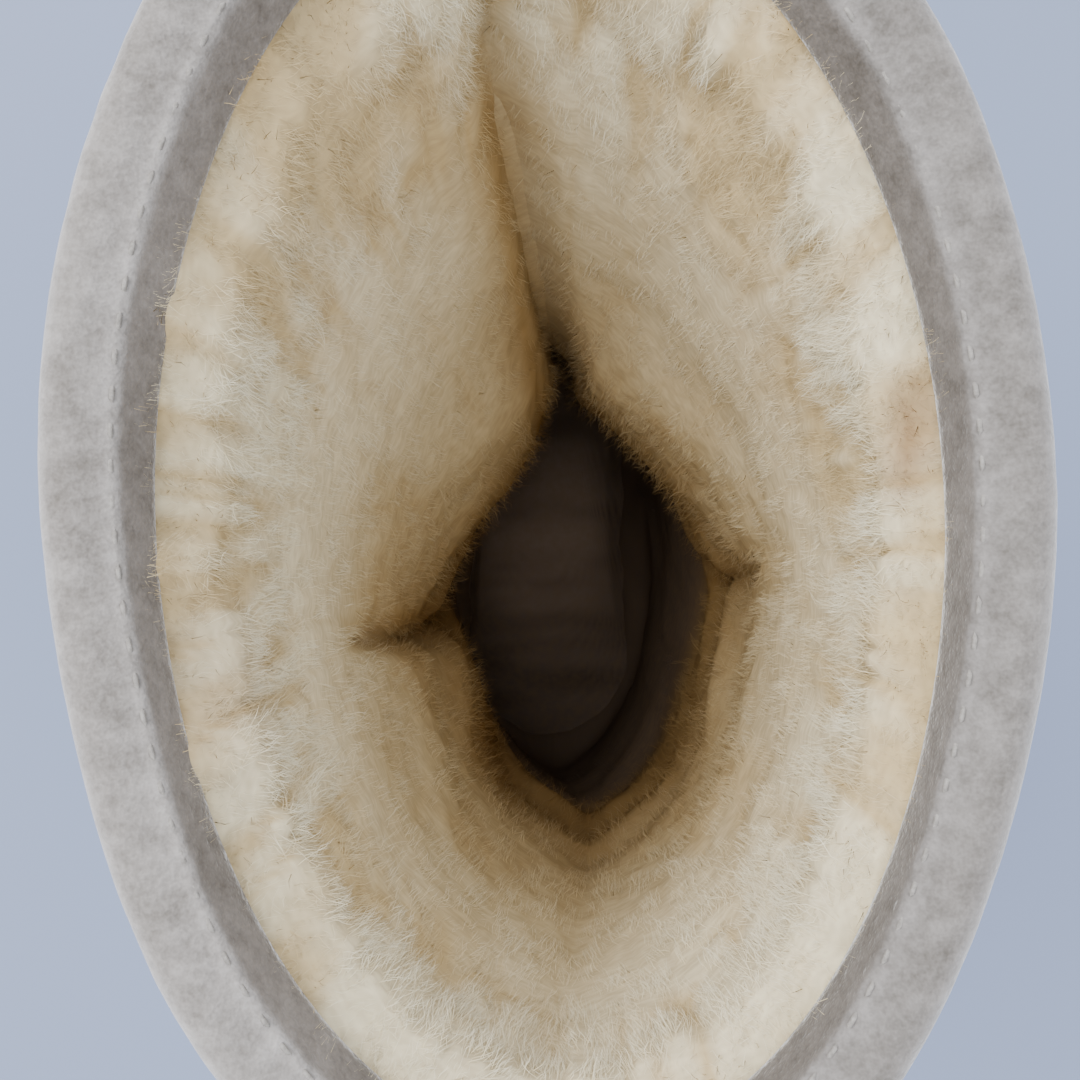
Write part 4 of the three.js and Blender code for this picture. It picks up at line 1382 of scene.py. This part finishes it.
counter_rows = []
for inset in (0.12, 0.3):
    counter_rows.append(on_surface((counter_places - inset, counter_angles), FIT + OVERLAY + THREAD_LIFT))
stitches("counter_stitches", counter_rows, 3.0, 2.1)

stay_rows = []
low = counter_edge(np.array([math.pi]), 2 * FIT)[0]
stay_places = np.linspace(low + 0.1, ring_at_height(BOOT_HEIGHT - BINDING_OUTSIDE - 2), 160)
for across in (STAY_WIDTH / 2 - 2.4, 2.4 - STAY_WIDTH / 2):
    turned = stay_angles(stay_places, across)[:, 0]
    stay_rows.append(on_surface((stay_places, turned), FIT + OVERLAY + THREAD_LIFT))
stitches("stay_stitches", stay_rows, 3.0, 2.1)

ring = np.linspace(0, 2 * math.pi, 721)
ones = np.ones_like(ring)
upward = np.tile(np.array([0, 0, 1.0]), (len(ring), 1))
top_row = binding_place(1.24 * ones, 6.2 * ones, ring)
side_row = binding_place(10.8 * ones, -1.95 * ones, ring)
side_normals = surface_normal(ring_at_height(BOOT_HEIGHT - 10.8), ring)
stitches("binding_stitches", [(top_row, upward), (side_row, side_normals)], STITCH_PITCH, 2.0, 0.55, 0.4)

# Floor, light and camera

floor_mesh = bpy.data.meshes.new("floor")
reach = 9.0
floor_mesh.from_pydata(
    [(-reach, -reach, 0), (reach, -reach, 0), (reach, reach, 0), (-reach, reach, 0)], [], [(0, 1, 2, 3)]
)
floor = bpy.data.objects.new("floor", floor_mesh)
bpy.context.scene.collection.objects.link(floor)
floor_nodes = Nodes("pale_floor")
floor_mesh.materials.append(floor_nodes.finish(colour(150, 163, 193), 0.7, specular_ior_level=0.3))


def area_light(name, place, target, size, power, tone=(1, 1, 1)):
    data = bpy.data.lights.new(name, "AREA")
    data.shape = "SQUARE"
    data.size = size
    data.energy = power
    data.color = tone
    light = bpy.data.objects.new(name, data)
    light.location = place
    light.rotation_euler = (Vector(target) - Vector(place)).to_track_quat("-Z", "Y").to_euler()
    bpy.context.scene.collection.objects.link(light)


centre = (0.034, 0, 0.18)
area_light("key_light", (0.35, 0.65, 1.15), centre, 0.9, 20, (1, 0.985, 0.96))
area_light("fill_light", (-0.1, -0.75, 1.1), centre, 0.9, 7.6, (0.96, 0.98, 1))
area_light("back_light", (-0.9, 0.3, 0.9), centre, 0.8, 5.5, (1, 1, 1))
area_light("front_light", (0.95, 0.1, 0.95), centre, 0.8, 7.6, (1, 1, 1))
area_light("top_light", (0.034, 0.0, 1.3), centre, 0.3, 1.8, (1, 0.98, 0.95))

world = bpy.data.worlds.new("soft_room")
world.use_nodes = True
background = world.node_tree.nodes["Background"]
background.inputs["Color"].default_value = (0.8, 0.87, 1, 1)
background.inputs["Strength"].default_value = 1.06
bpy.context.scene.world = world

HALF_FRAME = 540
FOCAL_LENGTH = 1083
CAMERA_PLACE = (33.6, 0.7, 345)
CAMERA_ROLL = -2.5

camera_data = bpy.data.cameras.new("photo_camera")
camera_data.sensor_fit = "HORIZONTAL"
camera_data.angle = 2 * math.atan(HALF_FRAME / FOCAL_LENGTH)
camera_data.clip_start = 0.005
camera = bpy.data.objects.new("photo_camera", camera_data)
camera.location = Vector(CAMERA_PLACE) * MM
camera.rotation_euler = (0, 0, (-90 + CAMERA_ROLL) * DEGREE)
bpy.context.scene.collection.objects.link(camera)
bpy.context.scene.camera = camera

bpy.context.view_layer.update()
